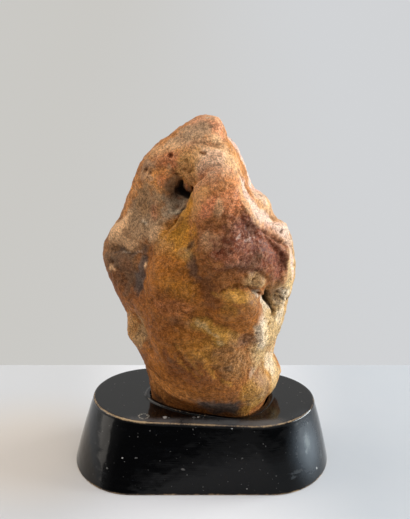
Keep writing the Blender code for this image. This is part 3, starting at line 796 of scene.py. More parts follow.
def cave_moves(points, tree):
    """The moves of all caves and pits, and how deep in them each point is, which sets their painted shade.
    """
    moves = np.zeros_like(points)
    depths = np.zeros(len(points))
    for cave in CAVES:
        distance, normal = patch_distance(points, tree, cave.at, cave.reach, cave.turn)
        inside = 1.0 - fade(distance, 1.0 - cave.edge, 1.0 + cave.edge)
        moves -= np.outer(inside * cave.depth * MM, normal)
        depths = np.maximum(depths, inside * min(1.0, cave.depth / FULL_SHADE_DEPTH))
    for chasm in CHASMS:
        distance, _ = path_distance(points, tree, chasm.path)
        inwards = -np.mean([find_on_skin(tree, place)[1] for place in chasm.path], axis=0)
        reaches = distance / (chasm.half_width * MM)
        inside = 1.0 - fade(reaches, 1.0 - chasm.edge, 1.0 + chasm.edge)
        moves += np.outer(inside * chasm.depth * MM, inwards)
        depths = np.maximum(depths, inside * min(1.0, chasm.depth / FULL_SHADE_DEPTH))
    return moves, depths


def groove_rise(points, tree, grooves):
    """How far grooves raise each point, which is less than nothing in a furrow."""
    rise = np.zeros(len(points))
    for groove in grooves:
        distance, _ = path_distance(points, tree, groove.path)
        rise -= groove.depth * MM * bell(distance, groove.half_width * MM)
    return rise


def path_moves(points, normals, tree):
    rise = groove_rise(points, tree, GROOVES)
    for ledge in LEDGES:
        distance, aside = path_distance(points, tree, ledge.path)
        low_side = fade(aside, -ledge.edge * MM, ledge.edge * MM)
        rise -= ledge.drop * MM * low_side * bell(distance, ledge.fade * MM)
    return normals * rise[:, None]


def grain_moves(points, normals, coarse):
    """Fine relief: lumps and ridges everywhere, and grains where the stone is coarse."""
    rise = LUMP_RISE * cloud(points, *LUMP_CLOUD)
    ridges = np.abs(cloud(points, *RIDGE_CLOUD))
    rise += RIDGE_RISE * (RIDGE_MIDDLE - np.minimum(ridges, RIDGE_LIMIT))
    rise += KNOB_RISE * cloud(points, *KNOB_CLOUD)
    rise += (GRAIN_RISE + GRAIN_COARSE_RISE * coarse) * cloud(points, *GRAIN_CLOUD)
    return normals * rise[:, None]


def levelled(normals, heights):
    """The normals, turned level near the foot, so that nothing there moves down."""
    steep = fade(heights, LEVEL_BELOW, LEVEL_ABOVE)
    level = normals * np.stack([np.ones_like(steep), np.ones_like(steep), steep], axis=1)
    return level / np.linalg.norm(level, axis=1, keepdims=True)


def fine_skin(node):
    """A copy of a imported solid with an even, fine skin."""
    shape = bmesh.new()
    shape.from_mesh(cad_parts[node].data)
    bmesh.ops.remove_doubles(shape, verts=shape.verts, dist=WELD_DISTANCE)
    bmesh.ops.join_triangles(
        shape,
        faces=shape.faces,
        angle_face_threshold=QUAD_FACE_ANGLE,
        angle_shape_threshold=QUAD_SHAPE_ANGLE,
    )
    rough = bpy.data.meshes.new("rough")
    shape.to_mesh(rough)
    shape.free()
    carrier = add_piece("carrier", rough)
    rounding = carrier.modifiers.new("Rounding", "SUBSURF")
    rounding.levels = 1
    rounding.render_levels = 1
    skin = carrier.modifiers.new("Skin", "REMESH")
    skin.mode = "VOXEL"
    skin.voxel_size = SKIN_VOXEL
    evaluated = carrier.evaluated_get(bpy.context.evaluated_depsgraph_get())
    mesh = bpy.data.meshes.new_from_object(evaluated)
    bpy.data.objects.remove(carrier)
    bpy.data.meshes.remove(rough)
    return mesh


def carve_stone(mesh):
    """Carve the stone, and store what its colours need to know."""
    edges = mesh_edges(mesh)
    base = smoothed(mesh_points(mesh), edges, SKIN_SMOOTHING)
    set_points(mesh, base)
    base_normals = levelled(mesh_normals(mesh), base[:, 2])
    tree = search_tree(mesh, base)
    warped = base + WARP_REACH * cloud_vectors(base, *WARP_CLOUD)
    spilt = base + SPILL_REACH * cloud_vectors(base, *SPILL_CLOUD)
    free = fade(base[:, 2], CARVING_STARTS, CARVING_FULL)[:, None]
    cave_move, depths = cave_moves(warped, tree)
    moves = swell_moves(base, base_normals, tree) + cave_move
    moves += path_moves(warped, base_normals, tree) + np.outer(groove_rise(base, tree, CRESTS), FRONT)
    set_points(mesh, base + free * moves)

    painted = paint_stone(base, spilt, base_normals, tree)
    coarse = painted[:, 3]
    carved = mesh_points(mesh) + free * grain_moves(base, mesh_normals(mesh), coarse)
    carved[:, 2] = np.minimum(carved[:, 2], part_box("rock")[1][2])
    carved[:, 1] = np.maximum(carved[:, 1], FRONT_LIMIT)
    set_points(mesh, carved)

    broad = smoothed(carved, edges, RELIEF_ROUNDS)
    height = np.einsum("ij,ij->i", carved - broad, mesh_normals(mesh))
    store_colours(mesh, "paint", painted[:, :3])
    store_values(mesh, "coarse", coarse)
    # Height over the smoothed skin: hollows get painted shade and a rougher gloss, crests a paler tone
    store_values(mesh, "hollow", np.clip(-height / RELIEF_FULL, 0.0, 1.0))
    store_values(mesh, "crest", np.clip(height / RELIEF_FULL, 0.0, 1.0))
    # How deep in a cave each point is, for the painted shade there
    store_values(mesh, "deep", depths * free[:, 0])


def paint_over(painted, paint, cover):
    return painted + cover[:, None] * (np.array(PAINTS[paint]) - painted)


def paint_stone(points, spilt, normals, tree):
    """The colour and the coarseness at each point, patch over patch."""
    sight = np.array(EYE) - points
    sight /= np.linalg.norm(sight, axis=1, keepdims=True)
    facing = np.einsum("ij,ij->i", sight, normals)
    hidden = 1.0 - fade(facing, *HIDDEN_FACING)
    painted = paint_over(np.zeros((len(points), 4)), BASE_PAINT, np.ones(len(points)))
    for number, (paint, most) in enumerate(HIDDEN_PAINTS.items()):
        seed = HIDDEN_SEED + HIDDEN_SEED_STEP * number
        clouds = cloud(points, HIDDEN_SIZE, seed, HIDDEN_OCTAVES, HIDDEN_GAIN)
        painted = paint_over(painted, paint, most * hidden * fade(clouds, *HIDDEN_EDGE))
    ragged = RAGGEDNESS * cloud(points, *RAGGED_CLOUD)
    seen = 1.0 - SIDE_FADE * (1.0 - fade(facing, *SIDE_FACING))
    for patch in PATCHES:
        distance, _ = patch_distance(spilt, tree, patch.at, patch.reach, patch.turn)
        solid = 1.0 - fade(distance + ragged, SOLID_WITHIN, CLEAR_BEYOND)
        kept = 1.0 if isinstance(patch.at, Around) else seen
        painted = paint_over(painted, patch.paint, patch.cover * solid * kept)
    for streak in STREAKS:
        distance, _ = path_distance(spilt, tree, streak.path)
        reaches = distance / (streak.half_width * MM)
        solid = 1.0 - fade(reaches + ragged, SOLID_WITHIN, CLEAR_BEYOND)
        painted = paint_over(painted, streak.paint, streak.cover * solid * seen)
    return painted


def make_stone():
    mesh = fine_skin("rock")
    carve_stone(mesh)
    mesh.shade_smooth()
    mesh.materials.clear()
    mesh.materials.append(stone_material())
    stone = add_piece("stone", mesh)
    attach(stone, "root")
    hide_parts("rock")


# ---------------------------------------------------------------- nodes

# What a shader noise is on average
NOISE_MIDDLE = 0.5
# Sockets of the node that mixes colours
MIX_SHARE = 0
MIX_FIRST = 6
MIX_SECOND = 7
MIX_RESULT = 2


class Nodes:
    """Adds shader nodes to one tree. A constant can stand wherever an output can."""

    def __init__(self, tree):
        self.tree = tree

    def feed(self, socket, value):
        """Link an output to a socket, or set the socket to a constant."""
        if isinstance(value, bpy.types.NodeSocket):
            self.tree.links.new(value, socket)
        else:
            socket.default_value = value

    def add(self, kind, inputs, **settings):
        """The new node itself. The other methods give an output."""
        node = self.tree.nodes.new("ShaderNode" + kind)
        for key, value in settings.items():
            setattr(node, key, value)
        for key, value in inputs.items():
            self.feed(node.inputs[key], value)
        return node

    def place(self, stretch=None):
        """Where a point is on its piece."""
        place = self.add("TexCoord", {}).outputs["Object"]
        if stretch is None:
            return place
        return self.add("Mapping", {"Vector": place, "Scale": stretch}).outputs["Vector"]

    def attribute(self, name, output="Fac"):
        return self.add("Attribute", {}, attribute_name=name).outputs[output]

    def noise(self, size, detail, roughness, place=None):
        """Noise whose lumps are about size metres across."""
        where = place or self.place()
        inputs = {"Vector": where, "Scale": 1.0 / size, "Detail": detail, "Roughness": roughness}
        return self.add("TexNoise", inputs).outputs["Fac"]

    def combine(self, operation, first, *others):
        """Apply an operation to the first two values, then to the result and the next."""
        for other in others:
            first = self.add("Math", {0: first, 1: other}, operation=operation).outputs["Value"]
        return first

    def times(self, *values):
        return self.combine("MULTIPLY", *values)

    def plus(self, *values):
        return self.combine("ADD", *values)

    def minus(self, *values):
        return self.combine("SUBTRACT", *values)

    def most(self, *values):
        return self.combine("MAXIMUM", *values)

    def absolute(self, value):
        return self.add("Math", {0: value}, operation="ABSOLUTE").outputs["Value"]

    def vector(self, operation, *values, output="Vector"):
        return self.add("VectorMath", dict(enumerate(values)), operation=operation).outputs[output]

    def axis(self, vector, name):
        return self.add("SeparateXYZ", {0: vector}).outputs[name]

    def ramp(self, value, low, high, start=0.0, end=1.0):
        """Go smoothly from start to end while the value goes from low to high."""
        inputs = {"Value": value, "From Min": low, "From Max": high, "To Min": start, "To Max": end}
        return self.add("MapRange", inputs, interpolation_type="SMOOTHSTEP").outputs["Result"]

    def fall(self, value, low, high):
        """Go smoothly from 1 to 0 while the value goes from low to high."""
        return self.minus(1.0, self.ramp(value, low, high))

    def mix(self, share, first, second, blend="MIX"):
        """Mix a share of the second colour into the first."""
        node = self.add("Mix", {}, data_type="RGBA", blend_type=blend)
        for key, value in ((MIX_SHARE, share), (MIX_FIRST, first), (MIX_SECOND, second)):
            self.feed(node.inputs[key], (*value, 1.0) if isinstance(value, tuple) else value)
        return node.outputs[MIX_RESULT]

    def scaled(self, colour, factor):
        """The colour, with all three parts multiplied by the same factor."""
        grey = self.add("CombineColor", {0: factor, 1: factor, 2: factor}).outputs["Color"]
        return self.mix(1.0, colour, grey, "MULTIPLY")

    def thin_lines(self, noise, width):
        """A net of thin lines where the noise is at its middle: 1 on a line, and 0 away from it."""
        return self.fall(self.absolute(self.minus(noise, NOISE_MIDDLE)), 0.0, width)


def new_material(name):
    """A new material, its shader's inputs, and what adds its nodes."""
    material = bpy.data.materials.new(name)
    material.use_nodes = True
    tree = material.node_tree
    return material, tree.nodes["Principled BSDF"].inputs, Nodes(tree)


# ---------------------------------------------------------------- stone finish

# A range says where the input starts and ends, and what comes out there: 0 and 1
# where it doesn't say. A noise's numbers are the size of its lumps, its detail and
# its roughness.
# Pale grains and pale lines; the grains also stand in as painted glints
PALE_GRAIN_AND_GLINT = (0.820, 0.680, 0.430)
# Painted shade in the hollows of the fine relief
HOLLOW_SHADE_COLOUR = (0.055, 0.025, 0.010)
HOLLOW_SHADE_SHARE = 0.40
CREST_PALE = (0.760, 0.500, 0.270)
CREST_SHARE = 0.10
# Painted shade in caves and pits, darker the deeper they are
CAVE_SHADE_COLOUR = (0.020, 0.015, 0.010)
CAVE_SHADE_RAMP = (0.30, 0.85, 0.0, 0.92)
CLOUDS_NOISE = (9.0 * MM, 5.0, 0.65)
CLOUDS_TONE = (0.30, 0.70, 0.76, 1.24)
FLOW_NOISE = (1.5 * MM, 3.0, 0.6)
FLOW_TURN = (0.0, math.radians(48.0), 0.0)
FLOW_STRETCH = (0.16, 0.6, 1.0)
FLOW_TONE = (0.30, 0.70, 0.80, 1.23)
FLOW_RELIEF = 0.5
SWIRL_SIZE = 28.0 * MM
SWIRL_REACH = (0.022, 0.022, 0.022)
FLECK_NOISE = (1.7 * MM, 3.0, 0.65)
FLECK_EDGE = (0.34, 0.66)
FLECK_DARK = (0.0, 1.0, 0.92, 0.80)
FLECK_LIGHT = (0.0, 1.0, 1.08, 1.24)
FLECK_RELIEF = 0.35
SPECK_NOISE = (1.1 * MM, 2.0, 0.6)
SPECK_TONE = (0.42, 0.64, 0.78, 1.42)
SPECK_EDGE = (0.59, 0.67)
SPECK_COVER = (0.0, 1.0, 0.30, 0.80)
SPECK_RELIEF = (0.0, 1.0, 0.15, 0.85)
LINE_NOISE = (3.6 * MM, 3.0, 0.65)
LINE_WIDTH = 0.055
FINE_LINE_NOISE = (2.4 * MM, 3.0, 0.65)
FINE_LINE_WIDTH = 0.050
LINE_GAP_NOISE = (2.8 * MM, 2.0, 0.55)
LINE_GAPS = (0.46, 0.54)
LINE_COVER = (0.0, 1.0, 0.40, 0.95)
LINE_RELIEF = 0.6
LIGHT_FACTOR = 2.15
LIGHT_PALENESS = (0.30, 0.80, 0.04, 0.15)
STONE_ROUGHNESS = 0.34
FLECK_ROUGHNESS = 0.30
HOLLOW_ROUGHNESS = 0.25
STONE_SHEEN = (0.30, 1.0, 0.12, 0.26)
STONE_BUMP = {"Strength": 0.75, "Distance": 0.50 * MM}


def swirled_place(nodes):
    """Places on the stone that are drawn into slow swirls."""
    swirl = nodes.add("TexNoise", {"Vector": nodes.place(), "Scale": 1.0 / SWIRL_SIZE})
    return nodes.vector("MULTIPLY_ADD", swirl.outputs["Color"], SWIRL_REACH, nodes.place())


def slanting_flow(nodes, swirled):
    inputs = {"Vector": swirled, "Rotation": FLOW_TURN, "Scale": FLOW_STRETCH}
    return nodes.noise(*FLOW_NOISE, nodes.add("Mapping", inputs).outputs["Vector"])


def pale_lines(nodes, coarse, swirled):
    """Thin pale scratches with gaps in them, and more of them where the stone is coarse."""
    wide = nodes.thin_lines(nodes.noise(*LINE_NOISE), LINE_WIDTH)
    fine = nodes.thin_lines(nodes.noise(*FINE_LINE_NOISE, swirled), FINE_LINE_WIDTH)
    gaps = nodes.ramp(nodes.noise(*LINE_GAP_NOISE), *LINE_GAPS)
    return nodes.times(nodes.most(wide, fine), gaps, nodes.ramp(coarse, *LINE_COVER))


def stone_tone(nodes, coarse, flecks, specks, flow):
    """How much lighter or darker than its paint the stone is."""
    clouds = nodes.ramp(nodes.noise(*CLOUDS_NOISE), *CLOUDS_TONE)
    dark = nodes.ramp(coarse, *FLECK_DARK)
    light = nodes.ramp(coarse, *FLECK_LIGHT)
    flecked = nodes.ramp(flecks, *FLECK_EDGE, dark, light)
    return nodes.times(clouds, nodes.ramp(flow, *FLOW_TONE), nodes.ramp(specks, *SPECK_TONE), flecked)


def stone_material():
    material, shader, nodes = new_material("Weathered stone")
    coarse = nodes.attribute("coarse")
    hollow = nodes.attribute("hollow")
    crest = nodes.attribute("crest")
    deep = nodes.attribute("deep")
    paint = nodes.attribute("paint", "Color")
    flecks = nodes.noise(*FLECK_NOISE)
    specks = nodes.noise(*SPECK_NOISE)
    swirled = swirled_place(nodes)
    flow = slanting_flow(nodes, swirled)
    lines = pale_lines(nodes, coarse, swirled)
    # Pale specks where the stone is coarse: partly its pale grains and partly painted glints
    grains = nodes.times(nodes.ramp(specks, *SPECK_EDGE), nodes.ramp(coarse, *SPECK_COVER))

    paleness = nodes.ramp(coarse, *LIGHT_PALENESS)
    light = nodes.mix(paleness, nodes.scaled(paint, LIGHT_FACTOR), PALE_GRAIN_AND_GLINT)
    colour = nodes.scaled(paint, stone_tone(nodes, coarse, flecks, specks, flow))
    colour = nodes.mix(lines, colour, light)
    colour = nodes.mix(grains, colour, light)
    # Painted shade: the hollows of the fine relief are darkened
    colour = nodes.mix(nodes.times(hollow, HOLLOW_SHADE_SHARE), colour, HOLLOW_SHADE_COLOUR)
    colour = nodes.mix(nodes.times(crest, CREST_SHARE), colour, CREST_PALE)
    # Painted shade: caves and pits darken with their depth
    colour = nodes.mix(nodes.ramp(deep, *CAVE_SHADE_RAMP), colour, CAVE_SHADE_COLOUR)
    nodes.feed(shader["Base Color"], colour)

    roughness = nodes.plus(nodes.times(flecks, FLECK_ROUGHNESS), STONE_ROUGHNESS)
    nodes.feed(shader["Roughness"], nodes.plus(roughness, nodes.times(hollow, HOLLOW_ROUGHNESS)))
    nodes.feed(shader["Specular IOR Level"], nodes.ramp(coarse, *STONE_SHEEN))
    relief = nodes.plus(
        nodes.times(flecks, FLECK_RELIEF),
        nodes.times(lines, LINE_RELIEF),
        nodes.times(specks, nodes.ramp(coarse, *SPECK_RELIEF)),
        nodes.times(flow, FLOW_RELIEF),
    )
    bump = nodes.add("Bump", {"Height": relief, **STONE_BUMP})
    nodes.feed(shader["Normal"], bump.outputs["Normal"])
    return material


# ---------------------------------------------------------------- stand form

# The plinth's outline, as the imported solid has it
PLINTH_LENGTH = 175.0 * MM
PLINTH_DEPTH = 101.0 * MM
PLINTH_HEIGHT = 47.7 * MM
WALL_FLARE = 11.4 * MM
WALL_BULGE = 0.5 * MM
BASE_END_REACH = 40.5 * MM
TOP_END_REACH = 43.3 * MM
TOP_TWIST = math.radians(-4.4)
TOP_SHIFT = 1.3 * MM
RIM_ROUND = 2.0 * MM
FOOT_ROUND = 0.8 * MM
SOCKET_FLOOR = 43.7 * MM
SOCKET_TOLERANCE = 0.05 * MM
LIP_WIDTH = 3.0 * MM
LIP_TOP = 48.8 * MM
LIP_ROUND = 0.9 * MM
LIP_INNER_ROUND = 0.6 * LIP_ROUND
# Fineness: points along an outline, and rings of them
ARC_POINTS = 92
SIDE_POINTS = 76
WALL_RINGS = 64
ROUND_RINGS = 7
TOP_RINGS = 30
SOCKET_WALL_RINGS = 5
FLOOR_RINGS = 6
ROUND_TURNS = np.linspace(0.0, math.pi / 2.0, ROUND_RINGS)
# The innermost ring of the underside and of the socket's floor, as a share of the outline
UNDERSIDE_HUB = 0.02
FLOOR_HUB = 0.03
# The wall wavers as a hand leaves it, away from its foot and its rim
HAND_WAVER = 0.12 * MM
WAVER_CLOUD = (14.0 * MM, 407, 3, 0.5)
WAVER_FROM = (1.0 * MM, 5.0 * MM)
WAVER_UNTIL = (47.0 * MM, 47.6 * MM)
# Wear and dullness
DULL_WIDTH = 8.0 * MM
DULL_SHARPNESS = 4
DULL_DEPTH = (-36.0 * MM, -26.0 * MM)
DULL_LENGTH = (44.0 * MM, 62.0 * MM)
WORN_TURN = math.radians(52.0)
WORN_SPREAD = math.radians(24.0)
FOOT_WEAR_DROP = 45.0
LIP_LEAST = 0.12
LIP_FADES = (4.0 * MM, 26.0 * MM)
# How worn the rim is all round: bearing from the front, then the wear
RIM_WEAR = (
    (-180, 0.30),
    (-95, 0.36),
    (-74, 0.62),
    (-62, 1.00),
    (-46, 1.00),
    (-38, 0.70),
    (-5, 0.62),
    (30, 0.52),
    (45, 0.58),
    (56, 0.72),
    (66, 0.50),
    (90, 0.34),
    (180, 0.30),
)
# Marks on the lacquer: where they are in the picture, and their reach across
# and up in millimetres
MARKS = rows(Mark, {
    "left chip": ("chip", (122.5, 458), (0.70, 0.50)),
    "left chip, lower": ("nick", (107, 468), (0.90, 0.70)),
    "middle chip": ("nick", (136, 458), (0.80, 0.60)),
    "nick under the rim": ("nick", (150, 431), (0.35, 0.75)),
    "nick under the rim 2": ("nick", (193, 429.5), (0.35, 0.65)),
    "nick under the rim 3": ("chip", (232, 428.7), (0.55, 0.40)),
    "low chip": ("nick", (183, 469.5), (1.30, 0.80)),
    "low chip 2": ("nick", (187, 475), (0.45, 0.40)),
    "chip by the base": ("chip", (247, 488.7), (0.45, 0.40)),
    "bright chip": ("chip", (316.7, 468), (0.85, 0.90)),
    "high chip on the right": ("nick", (307.5, 423), (0.50, 0.60)),
    "speck by the lip": ("chip", (165, 417.3), (1.50, 0.42)),
    "speck by the lip 2": ("nick", (169, 417.8), (0.70, 0.50)),
    "speck by the lip 3": ("nick", (194, 417.5), (1.10, 0.35)),
    "speck by the lip 4": ("chip", (198.5, 417), (0.90, 0.32)),
    "speck by the lip 5": ("nick", (203, 418), (0.50, 0.50)),
    "drop on the rim": ("ring", (143.5, 416.2), (3.30, 3.30)),
    # The bluish mark on the right end is a painted reflection of the window
    "haze on the right end": ("haze", (309, 447), (17.0, 27.0)),
    "scuff on the right end": ("scuff", (307.3, 442), (2.90, 7.90)),
    "scuff, lower part": ("scuff", (306.5, 451.5), (1.40, 1.80)),
    "smudge on the right": ("smudge", (297, 472), (5.00, 1.40)),
    "smudge on the right 2": ("smudge", (293, 477.5), (2.60, 1.20)),
    "smudge at the right end": ("smudge", (321, 455), (3.00, 2.60)),
})

Ring = namedtuple("Ring", "outline height rim foot lip dull", defaults=(0.0, 0.0, 0.0, 0.0))


def plinth_outline(rise, inset):
    """The plinth's outline at a rise from 0 at the base to 1 at the rim."""
    flare = WALL_FLARE * rise - WALL_BULGE * math.sin(math.pi * rise)
    end_reach = BASE_END_REACH + (TOP_END_REACH - BASE_END_REACH) * rise
    straight = PLINTH_LENGTH / 2.0 - flare - end_reach
    depth = PLINTH_DEPTH / 2.0 - flare - inset
    turn = np.linspace(0.0, math.pi / 2.0, ARC_POINTS)
    arc_x = straight + (end_reach - inset) * np.cos(turn)
    arc_y = depth * np.sin(turn)
    side_x = np.linspace(straight, -straight, SIDE_POINTS + 2)[1:-1]
    back_x = np.concatenate([arc_x, side_x, -arc_x[::-1]])
    back_y = np.concatenate([arc_y, np.full(SIDE_POINTS, depth), arc_y[::-1]])
    x = np.concatenate([back_x[:-1], -back_x[:-1]])
    y = np.concatenate([back_y[:-1], -back_y[:-1]])
    twist = TOP_TWIST * rise
    turned_x = x * math.cos(twist) - y * math.sin(twist) + TOP_SHIFT * rise
    return np.stack([turned_x, x * math.sin(twist) + y * math.cos(twist)], axis=1)


def socket_outline(directions):
    """The socket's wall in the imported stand, met in each direction from its middle."""
    points = mesh_points(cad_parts["stand"].data)
    ring = points[np.abs(points[:, 2] - SOCKET_FLOOR) < SOCKET_TOLERANCE][:, :2]
    middle = (ring.max(axis=0) + ring.min(axis=0)) / 2.0
    bearing = np.arctan2(ring[:, 1] - middle[1], ring[:, 0] - middle[0])
    reach = np.linalg.norm(ring - middle, axis=1)
    order = np.argsort(bearing)
    wanted = np.arctan2(directions[:, 1] - middle[1], directions[:, 0] - middle[0])
    radius = np.interp(wanted, bearing[order], reach[order], period=2.0 * math.pi)
    unit = np.stack([np.cos(wanted), np.sin(wanted)], axis=1)
    return middle, unit, radius[:, None]


def worn_share(turn):
    """Wear is strongest part of the way round a rounded edge."""
    return bell(turn - WORN_TURN, WORN_SPREAD)


def rim_wear(outline):
    bearings = np.degrees(np.arctan2(outline[:, 0], -outline[:, 1]))
    known, wear = zip(*RIM_WEAR)
    return np.interp(bearings, known, wear)


def dull_front(outline):
    """The front of the top has lost its gloss, and the ends and the back have not."""
    front = 1.0 - fade(outline[:, 1], *DULL_DEPTH)
    middle = 1.0 - fade(np.abs(outline[:, 0]), *DULL_LENGTH)
    return front * middle


def outer_rings():
    """Rings from the middle of the underside, up the wall and over the rim."""
    rings = [Ring(plinth_outline(0.0, 0.0) * UNDERSIDE_HUB, 0.0)]
    for turn in ROUND_TURNS:
        outline = plinth_outline(0.0, FOOT_ROUND * (1.0 - math.sin(turn)))
        rings.append(Ring(outline, FOOT_ROUND * (1.0 - math.cos(turn)), foot=1.0))
    for rise in np.linspace(0.0, 1.0, WALL_RINGS + 1)[1:]:
        height = FOOT_ROUND + (PLINTH_HEIGHT - RIM_ROUND - FOOT_ROUND) * rise
        rings.append(Ring(plinth_outline(rise, 0.0), height, foot=math.exp(-rise * FOOT_WEAR_DROP)))
    for turn in ROUND_TURNS[1:]:
        outline = plinth_outline(1.0, RIM_ROUND * (1.0 - math.cos(turn)))
        height = PLINTH_HEIGHT - RIM_ROUND * (1.0 - math.sin(turn))
        worn = rim_wear(outline) * worn_share(turn)
        dull = dull_front(outline) * turn / ROUND_TURNS[-1]
        rings.append(Ring(outline, height, rim=worn, dull=dull))
    return rings


def top_rings(edge, lip_foot):
    """Rings over the flat top, from the rim to the foot of the lip."""
    rings = []
    width = np.linalg.norm(lip_foot - edge, axis=1)
    for share in np.linspace(0.0, 1.0, TOP_RINGS)[1:]:
        outline = edge + (lip_foot - edge) * share
        dull = dull_front(outline) * np.exp(-((width * share / DULL_WIDTH) ** DULL_SHARPNESS))
        rings.append(Ring(outline, PLINTH_HEIGHT, dull=dull))
    return rings


def lip_rings(middle, unit, radius, strong):
    """Rings over the lip, which is low where it isn't strong, and down into the socket."""
    rings = []
    lip_rise = (LIP_TOP - PLINTH_HEIGHT) * strong
    for turn in ROUND_TURNS[1:]:
        out = LIP_WIDTH - LIP_ROUND * (1.0 - math.cos(turn))
        height = PLINTH_HEIGHT + lip_rise * math.sin(turn)
        rings.append(Ring(middle + unit * (radius + out), height, lip=strong * worn_share(turn)))
    for turn in ROUND_TURNS[1:]:
        out = LIP_INNER_ROUND * (1.0 - math.sin(turn))
        height = PLINTH_HEIGHT + lip_rise - LIP_INNER_ROUND * (1.0 - math.cos(turn))
        rings.append(Ring(middle + unit * (radius + out), height))
    wall_top = PLINTH_HEIGHT + lip_rise - LIP_INNER_ROUND
    for share in np.linspace(0.0, 1.0, SOCKET_WALL_RINGS)[1:]:
        rings.append(Ring(middle + unit * radius, wall_top + (SOCKET_FLOOR - wall_top) * share))
    for share in np.linspace(1.0, FLOOR_HUB, FLOOR_RINGS)[1:]:
        rings.append(Ring(middle + unit * radius * share, SOCKET_FLOOR))
    return rings


def stand_rings():
    """The stand's rings from the middle of its underside to the socket's middle."""
    rings = outer_rings()
    edge = rings[-1].outline
    middle, unit, radius = socket_outline(edge)
    lip_foot = middle + unit * (radius + LIP_WIDTH)
    strong = 1.0 - (1.0 - LIP_LEAST) * fade(lip_foot[:, 0], *LIP_FADES)
    return rings + top_rings(edge, lip_foot) + lip_rings(middle, unit, radius, strong)


def ring_mesh(name, rings):
    """A closed mesh through rings of equally many points."""
    count = len(rings[0].outline)
    points = [np.column_stack([ring.outline, np.broadcast_to(ring.height, count)]) for ring in rings]
    faces = []
    for row in range(len(rings) - 1):
        for column in range(count):
            ahead = (column + 1) % count
            low = row * count
            faces.append((low + column, low + ahead, low + count + ahead, low + count + column))
    last = (len(rings) - 1) * count
    faces.append(tuple(reversed(range(count))))
    faces.append(tuple(range(last, last + count)))
    mesh = bpy.data.meshes.new(name)
    mesh.from_pydata(np.concatenate(points).tolist(), [], faces)
    mesh.update()
    return mesh


def waver_wall(mesh):
    """Let the wall waver inwards only, and give the points as they then are."""
    points = mesh_points(mesh)
    waver = np.abs(cloud(points, *WAVER_CLOUD) * HAND_WAVER)
    wall = fade(points[:, 2], *WAVER_FROM) * (1.0 - fade(points[:, 2], *WAVER_UNTIL))
    points -= mesh_normals(mesh) * (waver * wall)[:, None]
    set_points(mesh, points)
    return points


def make_stand():
    rings = stand_rings()
    mesh = ring_mesh("stand", rings)
    count = len(rings[0].outline)
    for name in ("rim", "foot", "lip", "dull"):
        values = [np.broadcast_to(getattr(ring, name), count) for ring in rings]
        store_values(mesh, name, np.concatenate(values))
    tree = search_tree(mesh, waver_wall(mesh))
    marks = [(mark, find_on_skin(tree, mark.at)[0]) for mark in MARKS]
    mesh.shade_smooth()
    mesh.materials.append(lacquer_material(marks))
    stand = add_piece("lacquered_stand", mesh)
    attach(stand, "root")
    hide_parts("stand")


# ---------------------------------------------------------------- stand finish

LACQUER = (0.0012, 0.0013, 0.0016)
LACQUER_DUSTY = (0.0090, 0.0102, 0.0130)
LACQUER_DULL = (0.110, 0.106, 0.106)
LACQUER_IOR = 1.48
WORN_WOOD = (0.560, 0.390, 0.205)
WORN_DARK = (0.135, 0.085, 0.055)
BRUSHING_NOISE = (0.7 * MM, 2.0, 0.6)
BRUSHING_STRETCH = (0.05, 0.05, 1.0)
BRUSHING_BUMP = {"Strength": 0.22, "Distance": 0.10 * MM}
STREAK_NOISE = (3.0 * MM, 4.0, 0.65)
STREAK_STRETCH = (0.12, 0.12, 1.0)
SMUDGE_NOISE = (16.0 * MM, 5.0, 0.62)
DULL_COVER = (0.30, 0.62, 0.35, 0.95)
DUST_NOISE = (1.1 * MM, 2.0, 0.5)
DUSTY_STREAKS = (0.52, 0.76)
DUSTY_GRAINS = (0.50, 0.70)
DOT_NOISE = (1.8 * MM, 1.0, 0.5)
DOT_EDGE = (0.735, 0.775)
DOT_COVER = 0.22
WEAR_NOISE = (7.0 * MM, 5.0, 0.65)
WEAR_UNEVEN = 1.3
FINE_WEAR_NOISE = (1.3 * MM, 3.0, 0.6)
FINE_WEAR_UNEVEN = 0.7
UNEVEN_FROM = (0.02, 0.30)
GLOSS = (0.30, 0.75, 0.07, 0.14)
MATT_ROUGHNESS = 0.40
# The front and the back mirror less of the room than the ends and the top
SHEEN_FACING = (0.50, 0.92, 0.50, 0.22)
# The lacquer starts to go at low and is gone at high, and the wood is palest at bright
Wear = namedtuple("Wear", "layer low high bright")
WEARS = (
    Wear("rim", 0.16, 0.58, 1.10),
    Wear("foot", 0.62, 1.10, 1.60),
    Wear("lip", 0.85, 1.15, 1.30),
)
# A stain is solid up to its first edge and gone beyond the second, in reaches from
# its middle, or from the line of a ring
Stain = namedtuple("Stain", "colour uneven edges")
STAINS = {
    "chip": Stain((0.42, 0.41, 0.39), 1.5, (0.70, 1.15)),
    "nick": Stain((0.13, 0.125, 0.12), 1.8, (0.50, 1.30)),
    "ring": Stain((0.42, 0.39, 0.33), 1.6, (0.04, 0.24)),
    "scuff": Stain((0.125, 0.145, 0.155), 1.4, (0.20, 1.45)),
    "smudge": Stain((0.026, 0.030, 0.034), 2.6, (0.40, 1.30)),
    # A painted reflection: the window's bluish light on the right end
    "haze": Stain((0.050, 0.064, 0.080), 0.3, (0.0, 1.30)),
}
RING_GAPS = (-0.10, 0.06, 0.20, 1.0)


def mark_cover(nodes, mark, centre, uneven):
    """How much a mark covers: a spot, or a thin ring."""
    stain = STAINS[mark.kind]
    across, up = mark.reach
    shrink = (1.0 / (across * MM), 1.0 / (across * MM), 1.0 / (up * MM))
    offset = nodes.vector("SUBTRACT", nodes.place(), tuple(centre))
    length = nodes.vector("LENGTH", nodes.vector("MULTIPLY", offset, shrink), output="Value")
    reaches = nodes.plus(length, nodes.times(uneven, stain.uneven))
    if mark.kind == "ring":
        whole = nodes.fall(nodes.absolute(nodes.minus(reaches, 1.0)), *stain.edges)
        return nodes.times(whole, nodes.ramp(uneven, *RING_GAPS))
    return nodes.fall(reaches, *stain.edges)


